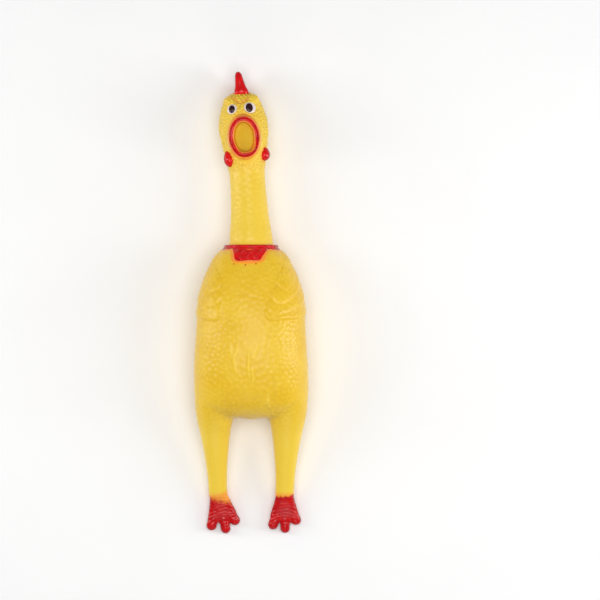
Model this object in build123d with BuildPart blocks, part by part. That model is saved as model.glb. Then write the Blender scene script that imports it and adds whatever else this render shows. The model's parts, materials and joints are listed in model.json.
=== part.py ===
from build123d import *

import os
from math import cos, radians, sin, sqrt

# A soft vinyl rubber chicken that lies on its back, with a reed squeaker behind its open mouth.
#
# The skin is one hollow moulding on the real toy. Here it is divided at the lines where it bends,
# and each bend is a ball on one piece that sits in a cup cut in the next, so the pieces never meet.
# Frame: +Y towards the head, +Z out of the belly, +X the chicken's own left side, millimetres.
# The origin is the middle of the flat on the back, on the surface that the toy lies on.

os.makedirs("parts", exist_ok=True)

# ---------------------------------------------------------------- driving dimensions
wall = 2.2  # vinyl skin
bend_gap = 0.4  # between a ball and its cup
slide_gap = 0.5  # round the belly panel
seat_gap = 0.05  # round a rigid plastic piece in the piece that holds it

torso_width = 76.4
torso_depth = 58.0
torso_bottom = -46.0
torso_top = 60.0
tail_width = 25.0
tail_depth = 32.0
tail_length = 5.5

neck_height = 25.0  # of the neck's centre line above the floor, at the shoulders
neck_offset = 0.3
neck_lean = 3.4  # degrees to the chicken's right
neck_drop = 5.0  # degrees down to the floor
head_lean = 4.8
neck_bend_at = 10.0  # places of the three neck bends, along the neck from the shoulders
neck_sway_at = 33.2
head_nod_at = 55.4
neck_bend_radius = 13.9
neck_sway_radius = 12.8
head_nod_radius = 11.9
neck_bend_limit = 35.0  # degrees each way
neck_sway_limit = 30.0
head_nod_limit = 35.0

head_width = 31.6
head_depth = 36.0
head_length = 48.0

hip_height = 21.0
hip_below_torso = 8.0
hip_radius = 10.5
hip_limit = 45.0
knee_at = 24.5  # along the leg from the hip
knee_radius = 7.6
knee_limit = 25.0
ankle_at = 50.5
ankle_height = 8.0
ankle_radius = 5.8
ankle_limit = 35.0
ankle_inward = 2.0  # how much nearer the middle the ankle is than the hip
toe_radius = 3.0
toe_reach = 26.5  # ankle to the end of the middle toe
side_toe_reach = 21.0
side_toe_spread = 8.0
foot_turn = {"left": 0.0, "right": 10.7}  # degrees that each foot points inwards

panel_width = 38.0
panel_length = 60.0
panel_middle = -4.0
panel_travel = 8.0

collar_radius = 19.6
collar_height = 4.0
bib_width = 24.5
bib_bottom_width = 20.0
bib_length = 10.0
bib_offset = -1.5
relief = 1.6  # how far the wings and the bib stand out of the skin

wing_top = 43.0  # of the folded wings, along the torso
wing_bottom = 15.5
wing_shoulder = 26.0  # from the middle of the belly to a wing's top
wing_tip = 19.5  # and to its tip

mouth_at = 19.3  # along the head from the nod
lip_width = 20.1
lip_length = 27.8
lip_band = 3.6
lip_top = 40.0  # above the floor that the toy lies on
mouth_floor = 31.0
cup_wall = 1.6  # of the mouth's recess

eye_radius = 4.7
eye_spacing = 12.2
eye_at = 38.2
eye_sunk = 3.0  # of its middle in the head
wattle_at = 6.3
wattle_sunk = 0.6
wattle_length = 10.0
wattle_radius = 2.9
comb_height = 15.5
comb_length = 25.0  # from front to back
comb_thickness = 6.4
comb_sunk = 8.0  # how deep its foot reaches into the crown's curve

barrel_diameter = 16.0
barrel_length = 18.4
barrel_wall = 1.4
nose_diameter = 10.0
nose_wall = 1.0
cap_thickness = 1.6  # of the plate that covers the mouth's floor
cap_gap = 0.25  # all round it, where the air comes out
vent_bore = 4.0
vent_width = 1.6
vent_count = 3  # grooves across the cap's underside, each open at both ends
plug_length = 4.0
shallot_radius = 3.2
shallot_length = 10.5
reed_width = 4.0
reed_length = 9.0
reed_thickness = 0.25
reed_lift = 0.35  # of the reed's tongue above the face that it beats on
reed_clamp_length = 2.6
reed_root_gap = 0.2
reed_face_offset = 0.6  # of the face that the reed beats on from the squeaker's axis
air_bore = 2.0
air_slot_width = 1.8
wedge_thickness = 1.6


# ---------------------------------------------------------------- places worked out from them
def unit(x, y, z):
    length = sqrt(x * x + y * y + z * z)
    return Vector(x / length, y / length, z / length)


neck_direction = unit(-sin(radians(neck_lean)), cos(radians(neck_lean)), -sin(radians(neck_drop)))
head_direction = unit(-sin(radians(head_lean)), cos(radians(head_lean)), -sin(radians(neck_drop)))
neck_root = Vector(neck_offset, torso_top + 2, neck_height)
neck_bend_centre = neck_root + neck_direction * neck_bend_at
neck_sway_centre = neck_root + neck_direction * neck_sway_at
head_nod_centre = neck_root + neck_direction * head_nod_at
mouth_centre = head_nod_centre + head_direction * mouth_at
hip_spread = torso_width / 2 - wall - hip_radius - 1.0


def rim(radius, limit):
    """How far below a ball's centre the cup's rim stays, so that the next piece can tilt by limit."""
    return radius * sin(radians(limit)) + bend_gap


def along(centre, direction):
    """A plane through centre whose local y runs along direction and whose local x is level."""
    side = Vector(0, 0, 1).cross(direction) * -1
    return Plane(origin=centre, x_dir=side, z_dir=side.cross(direction))


# ---------------------------------------------------------------- the whole skin's own forms
# Each station: share of the length, then shares of half the width and half the depth, and how far
# the lowest point of the section is above the lowest point of the torso.
torso_stations = [
    (0.00, 0.94, 0.70, 5.0),
    (0.12, 1.00, 0.91, 1.0),
    (0.33, 1.00, 1.00, 0.0),
    (0.57, 0.97, 0.98, 0.0),
    (0.79, 0.87, 0.86, 2.0),
    (0.92, 0.69, 0.74, 4.5),
    (1.00, 0.54, 0.66, 5.5),
]
back_flat_depth = 1.0  # how much of the round back the resting flat takes off


def torso_form(grow=0.0):
    """The torso's outer form, grown outwards by grow, which is negative for its inside."""
    with BuildPart() as form:
        for share, wide, deep, rise in torso_stations:
            y = torso_bottom + share * (torso_top - torso_bottom)
            if share == 0:
                y = y - grow
            if share == 1:
                y = y + grow
            half_depth = deep * torso_depth / 2
            middle = (0, y, rise - back_flat_depth + half_depth)
            with BuildSketch(Plane(origin=middle, x_dir=(1, 0, 0), z_dir=(0, 1, 0))):
                Ellipse(wide * torso_width / 2 + grow, half_depth + grow)
        loft()
    return form.part


# Each station: share of the head's length, then shares of half its width and half its depth.
head_stations = [
    (0.00, 0.75, 0.66),
    (0.23, 0.86, 0.84),
    (0.50, 1.00, 1.00),
    (0.71, 0.97, 0.97),
    (0.90, 0.72, 0.72),
    (1.00, 0.34, 0.34),
]


def head_section(at):
    """Half the head's width and half its depth, this far from the nod."""
    share = at / head_length
    for near, far in zip(head_stations, head_stations[1:]):
        if near[0] <= share <= far[0]:
            t = (share - near[0]) / (far[0] - near[0])
            wide = near[1] + t * (far[1] - near[1])
            deep = near[2] + t * (far[2] - near[2])
    return wide * head_width / 2, deep * head_depth / 2


def head_form(grow=0.0):
    """The head's outer form from the nod to the crown, grown outwards by grow."""
    with BuildPart() as form:
        for share, wide, deep in head_stations:
            place = share * head_length
            if share == 1:
                place = place + grow
            middle = head_nod_centre + head_direction * place
            with BuildSketch(Plane(origin=middle, x_dir=(1, 0, 0), z_dir=head_direction)):
                Ellipse(wide * head_width / 2 + grow, deep * head_depth / 2 + grow)
        loft()
    return form.part


def limb(centre, direction, radius, length, end_radius, next_bend=None):
    """A hollow length of skin that starts in a ball and tapers to its end.

    next_bend is the (radius, limit) of the ball at the far end that this piece makes a cup for.
    """
    plane = along(centre, direction)
    ball_cut = 0.85 * radius
    end = length - rim(*next_bend) if next_bend else length
    with BuildPart() as piece:
        with BuildSketch(plane):
            with BuildLine():
                foot = sqrt(radius**2 - ball_cut**2)
                Line((0, -ball_cut), (foot, -ball_cut))
                RadiusArc((foot, -ball_cut), (radius, 0), -radius)
                Line((radius, 0), (end_radius, end))
                Line((end_radius, end), (0, end))
                Line((0, end), (0, -ball_cut))
            make_face()
        revolve(axis=Axis(centre, direction))
        with BuildSketch(plane):
            with BuildLine():
                inner = radius - wall
                Line((0, -radius), (0.55 * inner, -radius))
                Line((0.55 * inner, -radius), (0.55 * inner, -0.835 * inner))
                RadiusArc((0.55 * inner, -0.835 * inner), (inner, 0), -inner)
                Line((inner, 0), (end_radius - wall, end + wall))
                Line((end_radius - wall, end + wall), (0, end + wall))
                Line((0, end + wall), (0, -radius))
            make_face()
        revolve(axis=Axis(centre, direction), mode=Mode.SUBTRACT)
        if next_bend:
            with Locations(centre + direction * length):
                Sphere(next_bend[0] + bend_gap, mode=Mode.SUBTRACT)
    return piece.part


def hip_centre(side):
    return Vector(side * hip_spread, torso_bottom - hip_below_torso, hip_height)


def leg_direction(side):
    return unit(
        -side * ankle_inward,
        -sqrt(ankle_at**2 - ankle_inward**2 - (hip_height - ankle_height) ** 2),
        ankle_height - hip_height,
    )


def write(part, name):
    part.label = name
    export_step(part, f"parts/{name}.step")


# ---------------------------------------------------------------- torso
torso_outer = torso_form()
torso_inner = torso_form(-wall)
torso_relief = torso_form(relief)
neck_stub_length = neck_bend_at - rim(neck_bend_radius, neck_bend_limit)
neck_stub_radius = neck_bend_radius + bend_gap


def panel_hole(gap):
    """The belly panel's outline as a prism that runs up out of the belly."""
    with BuildPart() as prism:
        with BuildSketch(Plane.XY.offset(torso_depth * 0.6)):
            with Locations((0, panel_middle)):
                Ellipse(panel_width / 2 - gap, panel_length / 2 - gap)
        extrude(amount=torso_depth)
    return prism.part


with BuildPart() as torso_skin:
    add(torso_outer)
    with BuildSketch(Plane(origin=neck_root - neck_direction * 6, x_dir=(1, 0, 0), z_dir=neck_direction)):
        Circle(neck_stub_radius)
    extrude(amount=6 + neck_stub_length)
    with BuildSketch(Plane(origin=(0, torso_bottom, hip_height + 3), x_dir=(1, 0, 0), z_dir=(0, -1, 0))):
        Ellipse(tail_width / 2, tail_depth / 2)
    extrude(amount=tail_length)
    fillet(torso_skin.faces().sort_by(Axis.Y)[0].edges(), tail_length * 0.7)
    add(torso_inner, mode=Mode.SUBTRACT)
    with BuildSketch(Plane(origin=neck_root - neck_direction * 8, x_dir=(1, 0, 0), z_dir=neck_direction)):
        Circle(neck_stub_radius - wall)
    extrude(amount=8 + neck_stub_length, mode=Mode.SUBTRACT)
    with Locations(neck_bend_centre):
        Sphere(neck_bend_radius + bend_gap, mode=Mode.SUBTRACT)
    with Locations(hip_centre(1), hip_centre(-1)):
        Sphere(hip_radius + bend_gap, mode=Mode.SUBTRACT)
    add(panel_hole(0), mode=Mode.SUBTRACT)
    split(bisect_by=Plane.XY, keep=Keep.TOP)
write(torso_skin.part, "torso_skin")

with BuildPart() as belly_panel:
    add(torso_outer)
    add(torso_inner, mode=Mode.SUBTRACT)
    add(panel_hole(slide_gap), mode=Mode.INTERSECT)
write(belly_panel.part, "belly_panel")


def wing(side):
    """A folded wing: a pad that follows the side of the torso, pointed towards the belly."""
    beyond = torso_width / 2 + 2 * relief
    shoulder = (side * wing_shoulder, wing_top)
    elbow = (side * (wing_shoulder + wing_tip) / 2, wing_bottom + 0.67 * (wing_top - wing_bottom))
    tip = (side * wing_tip, wing_bottom)
    with BuildPart() as pad:
        with BuildSketch(Plane.XY.offset(torso_depth * 0.3)):
            with BuildLine():
                Spline(shoulder, elbow, tip)
                Polyline(tip, (side * beyond, wing_bottom), (side * beyond, wing_top), shoulder)
            make_face()
        extrude(amount=torso_depth)
        add(torso_relief, mode=Mode.INTERSECT)
        add(torso_outer, mode=Mode.SUBTRACT)
    return pad.part


for name, side in (("left", 1), ("right", -1)):
    write(wing(side), f"{name}_wing")

with BuildPart() as collar:
    collar_end = neck_stub_length - 0.1
    collar_foot = collar_end - collar_height
    with BuildSketch(along(neck_root, neck_direction)):
        with BuildLine():
            Polyline(
                (neck_stub_radius, collar_end),
                (collar_radius - 1, collar_end),
                (collar_radius, collar_end - 1),
                (collar_radius + relief / 2, collar_foot),
                (neck_stub_radius, collar_foot),
                close=True,
            )
        make_face()
    revolve(axis=Axis(neck_root, neck_direction))
    add(torso_outer, mode=Mode.SUBTRACT)
write(collar.part, "collar")

with BuildPart() as collar_bib:
    with BuildSketch(Plane.XY.offset(neck_height)):
        bib_top = torso_top - 0.3
        with BuildLine():
            Polyline(
                (bib_offset - bib_width / 2, bib_top),
                (bib_offset + bib_width / 2, bib_top),
                (bib_offset + bib_bottom_width / 2, bib_top - bib_length),
                (bib_offset - bib_bottom_width / 2, bib_top - bib_length),
                close=True,
            )
        make_face()
    extrude(amount=torso_depth)
    add(torso_relief, mode=Mode.INTERSECT)
    add(torso_outer, mode=Mode.SUBTRACT)
    add(collar.part, mode=Mode.SUBTRACT)
write(collar_bib.part, "collar_bib")

# ---------------------------------------------------------------- neck
write(
    limb(
        neck_bend_centre,
        neck_direction,
        neck_bend_radius,
        neck_sway_at - neck_bend_at,
        neck_sway_radius + bend_gap,
        (neck_sway_radius, neck_sway_limit),
    ),
    "lower_neck_skin",
)
write(
    limb(
        neck_sway_centre,
        neck_direction,
        neck_sway_radius,
        head_nod_at - neck_sway_at,
        head_nod_radius + bend_gap,
        (head_nod_radius, head_nod_limit),
    ),
    "upper_neck_skin",
)

# ---------------------------------------------------------------- head
mouth_plane = Plane(
    origin=(mouth_centre.X, mouth_centre.Y, 0),
    x_dir=(cos(radians(head_lean)), sin(radians(head_lean)), 0),
    z_dir=(0, 0, 1),
)
bore_width = lip_width - 2 * lip_band
bore_length = lip_length - 2 * lip_band
barrel_front = mouth_floor - cup_wall - seat_gap
barrel_rear = barrel_front - barrel_length


def oval(width, length, low, high):
    """An oval prism over the mouth, from low to high above the floor that the toy lies on."""
    with BuildPart() as prism:
        with BuildSketch(mouth_plane.offset(low)):
            Ellipse(width / 2, length / 2)
        extrude(amount=high - low)
    return prism.part


with BuildPart() as head_blank:
    add(head_form())
    with Locations(head_nod_centre):
        Sphere(head_nod_radius)

with BuildPart() as mouth_cup:
    add(oval(bore_width + 2 * cup_wall, bore_length + 2 * cup_wall, mouth_floor - cup_wall, lip_top))
    add(head_blank.part, mode=Mode.INTERSECT)

with BuildPart() as head_skin:
    add(head_blank.part)
    add(head_form(-wall), mode=Mode.SUBTRACT)
    with Locations(head_nod_centre):
        Sphere(head_nod_radius - wall, mode=Mode.SUBTRACT)
    with BuildSketch(Plane(origin=head_nod_centre, x_dir=(1, 0, 0), z_dir=head_direction * -1)):
        Circle(head_nod_radius * 0.5)
    extrude(amount=head_nod_radius * 1.2, mode=Mode.SUBTRACT)
    add(mouth_cup.part)
    add(oval(bore_width, bore_length, mouth_floor, lip_top), mode=Mode.SUBTRACT)
    with BuildSketch(mouth_plane.offset(mouth_floor)):
        Circle(nose_diameter / 2 + seat_gap)
    extrude(amount=-2 * cup_wall, mode=Mode.SUBTRACT)
    with BuildSketch(mouth_plane.offset(barrel_rear)):
        Circle(barrel_diameter / 2 + seat_gap)
    extrude(amount=barrel_length + seat_gap, mode=Mode.SUBTRACT)
    split(bisect_by=Plane.XY, keep=Keep.TOP)
write(head_skin.part, "head_skin")

with BuildPart() as lips:
    add(oval(lip_width, lip_length, mouth_floor - cup_wall, lip_top))
    fillet(lips.edges().group_by(Axis.Z)[-1], lip_band * 0.45)
    add(oval(bore_width, bore_length, 0, lip_top), mode=Mode.SUBTRACT)
    fillet(lips.edges().group_by(Axis.Z)[-1], lip_band * 0.4)
    add(head_blank.part, mode=Mode.SUBTRACT)
write(lips.part, "lips")

head_across = Vector(cos(radians(head_lean)), sin(radians(head_lean)), 0)
for name, side in (("left", 1), ("right", -1)):
    across = head_across * side
    half_width, half_depth = head_section(eye_at)
    eye_height = half_depth * sqrt(1 - (eye_spacing / 2 / half_width) ** 2) - eye_sunk
    eye_centre = head_nod_centre + head_direction * eye_at + across * (eye_spacing / 2)
    with BuildPart() as eye:
        with Locations(eye_centre + Vector(0, 0, eye_height)):
            Sphere(eye_radius)
        add(head_blank.part, mode=Mode.SUBTRACT)
    write(eye.part, f"{name}_eye")

    wattle_top = head_nod_centre + head_direction * (wattle_at + wattle_length / 2)
    wattle_top = wattle_top + across * (head_section(wattle_at)[0] - wattle_sunk)
    with BuildPart() as wattle:
        for share, wide in ((0.0, 0.5), (0.62, 1.0), (1.0, 0.55)):
            place = wattle_top - head_direction * (share * wattle_length)
            with BuildSketch(Plane(origin=place, x_dir=(1, 0, 0), z_dir=head_direction)):
                Circle(wide * wattle_radius)
        loft()
        add(head_blank.part, mode=Mode.SUBTRACT)
    write(wattle.part, f"{name}_wattle")

# Each point of the comb's outline: share of half its length, share of its height.
comb_points = [
    (0.84, 0.00),
    (1.00, 0.44),
    (0.69, 0.50),
    (0.43, 1.00),
    (0.13, 1.00),
    (-0.12, 0.60),
    (-0.54, 0.74),
    (-0.69, 0.44),
    (-1.00, 0.50),
    (-0.88, 0.00),
]
comb_root = head_nod_centre + head_direction * (head_length - comb_sunk)
comb_plane = Plane(origin=comb_root, x_dir=Vector(0, 0, 1), z_dir=Vector(0, 0, 1).cross(head_direction))
with BuildPart() as comb:
    with BuildSketch(comb_plane) as comb_outline:
        with BuildLine():
            Polyline(
                [(x * comb_length / 2, y * (comb_sunk + comb_height)) for x, y in comb_points],
                close=True,
            )
        make_face()
        fillet(comb_outline.vertices(), comb_thickness * 0.15)
    extrude(amount=comb_thickness / 2, both=True)
    add(head_blank.part, mode=Mode.SUBTRACT)
write(comb.part, "comb")

# ---------------------------------------------------------------- squeaker
barrel_bore = barrel_diameter / 2 - barrel_wall
with BuildPart() as squeaker_barrel:
    with BuildSketch(mouth_plane.offset(barrel_rear)):
        Circle(barrel_diameter / 2)
    extrude(amount=barrel_length)
    with BuildSketch(mouth_plane.offset(barrel_front)):
        Circle(nose_diameter / 2)
    extrude(amount=mouth_floor - barrel_front)
    with BuildSketch(mouth_plane.offset(barrel_rear)):
        Circle(barrel_bore)
    extrude(amount=barrel_length - barrel_wall, mode=Mode.SUBTRACT)
    with BuildSketch(mouth_plane.offset(barrel_rear)):
        Circle(nose_diameter / 2 - nose_wall)
    extrude(amount=barrel_length + nose_diameter, mode=Mode.SUBTRACT)
write(squeaker_barrel.part, "squeaker_barrel")

with BuildPart() as squeaker_cap:
    add(
        oval(
            bore_width - 2 * cap_gap,
            bore_length - 2 * cap_gap,
            mouth_floor,
            mouth_floor + cap_thickness,
        )
    )
    fillet(squeaker_cap.edges().group_by(Axis.Z)[-1], cap_thickness * 0.3)
    with BuildSketch(mouth_plane.offset(mouth_floor)):
        Circle(nose_diameter / 2 - nose_wall - seat_gap)
    extrude(amount=-cup_wall)
    with BuildSketch(mouth_plane.offset(mouth_floor - cup_wall)):
        Circle(vent_bore / 2)
    extrude(amount=cup_wall + cap_thickness / 2, mode=Mode.SUBTRACT)
    with BuildSketch(mouth_plane.offset(mouth_floor)):
        with PolarLocations(0, vent_count):
            Rectangle(bore_length, vent_width)
    extrude(amount=cap_thickness / 2, mode=Mode.SUBTRACT)
write(squeaker_cap.part, "squeaker_cap")

face_low = barrel_rear + plug_length
tongue_low = face_low + reed_clamp_length + reed_root_gap
tongue_high = face_low + reed_length
slot_low = tongue_low + 0.4
slot_high = tongue_high - 1.6
with BuildPart() as reed_block:
    with BuildSketch(mouth_plane.offset(barrel_rear)):
        Circle(barrel_bore - seat_gap)
    extrude(amount=plug_length)
    with BuildSketch(mouth_plane.offset(face_low)):
        Circle(shallot_radius)
        with Locations((0, shallot_radius + reed_face_offset)):
            Rectangle(4 * shallot_radius, 2 * shallot_radius, mode=Mode.SUBTRACT)
    extrude(amount=shallot_length)
    with BuildSketch(mouth_plane.offset(barrel_rear)):
        with Locations((0, -0.55 * air_bore)):
            Circle(air_bore / 2)
    extrude(amount=plug_length + shallot_length - air_bore, mode=Mode.SUBTRACT)
    with BuildSketch(mouth_plane.offset(slot_low)):
        with Locations((0, reed_face_offset)):
            Rectangle(air_slot_width, 2 * (reed_face_offset + 0.4 * air_bore))
    extrude(amount=slot_high - slot_low, mode=Mode.SUBTRACT)
write(reed_block.part, "reed_block")


def strip(width, thickness, near, low, high):
    """A flat strip along the shallot's face, near millimetres off it, from low to high."""
    with BuildPart() as piece:
        with BuildSketch(mouth_plane.offset(low)):
            with Locations((0, reed_face_offset + near + thickness / 2)):
                Rectangle(width, thickness)
        extrude(amount=high - low)
    return piece.part


write(strip(reed_width, reed_thickness, 0, face_low, face_low + reed_clamp_length), "reed_root")
write(strip(reed_width, reed_thickness, reed_lift, tongue_low, tongue_high), "reed_tongue")
write(
    strip(reed_width + 1, wedge_thickness, reed_thickness, face_low, face_low + reed_clamp_length),
    "reed_wedge",
)


# ---------------------------------------------------------------- legs and feet
def foot(side, turn):
    """A flat foot: a round ankle, a spreading palm and three blunt toes."""
    centre = hip_centre(side) + leg_direction(side) * ankle_at
    angle = radians(turn)
    drop = (ankle_height - toe_radius) / toe_reach
    forward = unit(-side * sin(angle), -cos(angle), -drop)
    plane = along(centre, forward)
    with BuildPart() as piece:
        with Locations(centre):
            Sphere(ankle_radius, rotation=(0, 0, 90))  # its seam away from the palm
        with BuildSketch(plane):
            with BuildLine():
                palm_root = 0.8 * ankle_radius
                palm_front = side_toe_spread + 0.6 * toe_radius
                palm_reach = side_toe_reach - 2 * toe_radius
                Polyline(
                    (-palm_root, 0),
                    (palm_root, 0),
                    (palm_front, palm_reach),
                    (-palm_front, palm_reach),
                    close=True,
                )
            make_face()
        extrude(amount=toe_radius * 0.9, both=True)
        for spread, reach in (
            (0, toe_reach),
            (side_toe_spread, side_toe_reach),
            (-side_toe_spread, side_toe_reach),
        ):
            tip = plane.from_local_coords(Vector(spread, reach - toe_radius, 0))
            heel = plane.from_local_coords(Vector(spread * 0.35, reach * 0.35, 0))
            length = (tip - heel).length
            with BuildSketch(Plane(origin=heel, z_dir=tip - heel)):
                Circle(toe_radius)
            extrude(amount=length)
            with Locations(tip):
                Sphere(toe_radius)
    return piece.part


for name, side in (("left", 1), ("right", -1)):
    hip = hip_centre(side)
    down = leg_direction(side)
    knee = hip + down * knee_at
    write(
        limb(hip, down, hip_radius, knee_at, knee_radius + bend_gap, (knee_radius, knee_limit)),
        f"{name}_thigh_skin",
    )
    write(
        limb(
            knee,
            down,
            knee_radius,
            ankle_at - knee_at,
            ankle_radius + bend_gap,
            (ankle_radius, ankle_limit),
        ),
        f"{name}_shank_skin",
    )
    write(foot(side, foot_turn[name]), f"{name}_foot")
    print(name, "hip", hip, "knee", knee, "ankle", hip + down * ankle_at)

print("neck bend", neck_bend_centre, "neck sway", neck_sway_centre, "head nod", head_nod_centre)
print("mouth", mouth_centre, "reed's root", tongue_low)
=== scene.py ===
# %% [markdown]
# # A vinyl rubber chicken
# The real toy is one hollow skin of soft yellow vinyl, cast in a mould that carries every pimple and
# feather, then sprayed and brushed with red. A reed squeaker sits behind its open mouth. The packed
# model gives the sizes, the bends and the squeaker. This lesson makes the skin that the eye sees.
#
# All shapes are worked out in millimetres and turned into metres when a mesh is made.

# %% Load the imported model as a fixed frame
import json
from math import pi, radians

import bpy
import numpy as np
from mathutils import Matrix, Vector


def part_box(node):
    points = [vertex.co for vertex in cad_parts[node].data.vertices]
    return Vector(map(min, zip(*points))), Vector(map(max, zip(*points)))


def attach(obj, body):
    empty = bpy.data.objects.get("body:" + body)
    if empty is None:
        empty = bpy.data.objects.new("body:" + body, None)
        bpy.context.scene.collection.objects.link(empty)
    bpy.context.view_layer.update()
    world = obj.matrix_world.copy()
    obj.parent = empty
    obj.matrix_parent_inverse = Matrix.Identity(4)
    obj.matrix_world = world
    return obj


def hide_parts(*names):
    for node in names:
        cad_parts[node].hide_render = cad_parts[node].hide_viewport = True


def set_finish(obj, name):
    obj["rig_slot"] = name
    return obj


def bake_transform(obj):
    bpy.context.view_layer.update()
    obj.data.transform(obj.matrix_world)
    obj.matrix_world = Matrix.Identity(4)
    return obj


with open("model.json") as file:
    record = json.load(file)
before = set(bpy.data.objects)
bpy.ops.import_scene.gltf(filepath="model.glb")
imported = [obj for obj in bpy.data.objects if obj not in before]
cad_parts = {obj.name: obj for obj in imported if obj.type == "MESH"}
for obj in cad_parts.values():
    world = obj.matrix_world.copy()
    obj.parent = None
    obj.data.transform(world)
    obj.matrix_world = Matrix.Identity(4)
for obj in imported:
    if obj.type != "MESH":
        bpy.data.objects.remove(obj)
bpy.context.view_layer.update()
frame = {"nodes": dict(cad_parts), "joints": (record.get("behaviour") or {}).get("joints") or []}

MM = 0.001
rng = np.random.default_rng(12)

# %% [markdown]
# The skin has to bend where the model bends, so the lesson starts with the places of the joints.

# %% Places of the bends, in millimetres
places = {j["name"]: np.array(j["pos_m"]) / MM for j in frame["joints"] if "pos_m" in j}
neck_bend = places["neck_bend"]
neck_sway = places["neck_sway"]
head_nod = places["head_nod"]
SIDES = {"left": 1, "right": -1}  # the sign of x on each side of the toy
hip = {side: places[f"{side}_leg_swing"] for side in SIDES}
ankle = {side: places[f"{side}_foot_flex"] for side in SIDES}


def node_box(name):
    """The lowest and the highest corner of a CAD node, in millimetres."""
    low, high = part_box(name)
    return np.array(low) / MM, np.array(high) / MM


lips_low, lips_high = node_box("lips")
mouth = (lips_low + lips_high) / 2
cap_top = node_box("squeaker_cap")[1][2]
print("neck bends at y =", neck_bend[1].round(1), neck_sway[1].round(1), head_nod[1].round(1))
print("mouth at", mouth.round(1))

# %% [markdown]
# A soft toy has no straight edges, so its outlines are smooth curves through a few chosen points. A
# cubic curve between each two points, with the slope at a point taken from its neighbours, is enough.


# %% A smooth curve through a few points
def through(x, knots, values):
    """Cubic curve through (knots, values): between two knots it is the Hermite cubic whose end slopes
    are the central differences of the values there. Outside the knots it keeps the end value."""
    knots, values = np.asarray(knots, float), np.asarray(values, float)
    slopes = np.gradient(values, knots)
    x = np.clip(x, knots[0], knots[-1])
    i = np.clip(np.searchsorted(knots, x, side="right") - 1, 0, len(knots) - 2)
    width = knots[i + 1] - knots[i]
    t = (x - knots[i]) / width
    rise = (3 * t**2 - 2 * t**3) * (values[i + 1] - values[i])
    return values[i] + rise + width * (t * (1 - t) ** 2 * slopes[i] - t**2 * (1 - t) * slopes[i + 1])


def curves(table, x):
    """Smooth curves at x through a table whose first row is the knots: one for each other row."""
    knots, *rows = table.values()
    return [through(x, knots, row) for row in rows]


def ease(x, start, end):
    """0 before start, 1 after end, and 3t^2 - 2t^3 between them. End may be lower than start."""
    t = np.clip((np.asarray(x, float) - start) / (end - start), 0, 1)
    return t * t * (3 - 2 * t)


# %% [markdown]
# Each part of the body is first a closed tube of rings on a path. A ring is a rounded square rather
# than an ellipse where the vinyl sags on its back, and its upper and lower halves may differ.


# %% A closed tube of rings
def tube(centres, across, up, half_across, half_up, half_down, squareness=2.0, around=72):
    """Point at angle a of ring k: centre + across * w * cos(a)^p + up * h * sin(a)^p, signs kept, with
    p = 2 / squareness and h the upper or the lower half-height."""
    angle = 2 * pi * np.arange(around) / around
    power = 2 / squareness
    c = np.sign(np.cos(angle)) * np.abs(np.cos(angle)) ** power
    s = np.sign(np.sin(angle)) * np.abs(np.sin(angle)) ** power
    height = np.where(s > 0, half_up[:, None], half_down[:, None])
    side_part = (half_across[:, None] * c)[..., None] * across
    up_part = (height * s)[..., None] * up
    return centres[:, None, :] + side_part + up_part


def grid_faces(rows, columns, wrap=True):
    """Quads between neighbouring rows and columns of a grid whose points are numbered row by row."""
    r, c = np.meshgrid(np.arange(rows - 1), np.arange(columns if wrap else columns - 1), indexing="ij")
    beside = (c + 1) % columns
    corners = [r * columns + c, r * columns + beside, (r + 1) * columns + beside, (r + 1) * columns + c]
    return np.stack(corners, -1).reshape(-1, 4)


def closed_tube(rings):
    """Points and faces of a tube whose two ends are closed by a fan to the middle of the end ring."""
    rows, columns = rings.shape[:2]
    points = np.concatenate([rings.reshape(-1, 3), rings[:1].mean(1), rings[-1:].mean(1)])
    edge = np.arange(columns)
    beside = (edge + 1) % columns
    first = np.stack([beside, edge, np.full(columns, rows * columns)], -1)
    last_row = (rows - 1) * columns
    last = np.stack([last_row + edge, last_row + beside, np.full(columns, rows * columns + 1)], -1)
    return points, grid_faces(rows, columns).tolist() + first.tolist() + last.tolist()


forms = []


def add_form(name, rings):
    """Keeps a closed tube as one of the lumps that the skin is made of."""
    forms.append(closed_tube(rings))
    low, high = rings.min((0, 1)).round(1), rings.max((0, 1)).round(1)
    print(name, "rings", rings.shape[0], "low", low, "high", high)


X, Y, Z = np.eye(3)

# %% [markdown]
# The torso is a bag that lies on its back: widest near the bottom, and rounded in to the neck. Its
# outline is three curves along y, for the half-width, the top and the underside.

# %% Torso
torso_y = np.concatenate([np.linspace(-52.4, -46, 14), np.linspace(-45, 64, 90)])
torso_outline = {
    "y": [-52.4, -51.5, -49, -45, -38, -25, -8, 10, 27, 40, 50, 57, 61, 64],
    "half": [11, 24, 32.6, 36.8, 38, 38.3, 37.6, 36.3, 35.2, 31.6, 26.8, 22.8, 18.6, 14.8],
    "top": [27, 34, 40.5, 46, 51, 55, 57, 57, 55, 52, 48.5, 45.3, 42.6, 39.2],
    "under": [21, 13, 7, 2.6, 0.2, -0.8, -1, -1, -0.9, -0.2, 1.6, 4.2, 6.8, 10.6],
}
torso_half, top, under = curves(torso_outline, torso_y)
torso_middle = under + 0.46 * (top - under)
torso_centres = np.stack([0 * torso_y, torso_y, torso_middle], -1)
add_form("torso", tube(
    torso_centres, X, Z, torso_half, top - torso_middle, torso_middle - under, squareness=2.35, around=120,
))

# %% [markdown]
# Between the legs a blunt tail hangs below the torso, a little to one side.

# %% Tail
tail_t = np.linspace(0, 1, 14)
tail_centres = np.stack([-2.6 + 2.6 * tail_t, -44 - 9.5 * tail_t, 25 - 2 * tail_t], -1)
tail_round = np.sqrt(np.clip(1 - tail_t**3, 0.02, 1))
add_form("tail", tube(tail_centres, X, Z, 12.0 * tail_round, 15 * tail_round, 14 * tail_round, 2.3))

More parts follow.
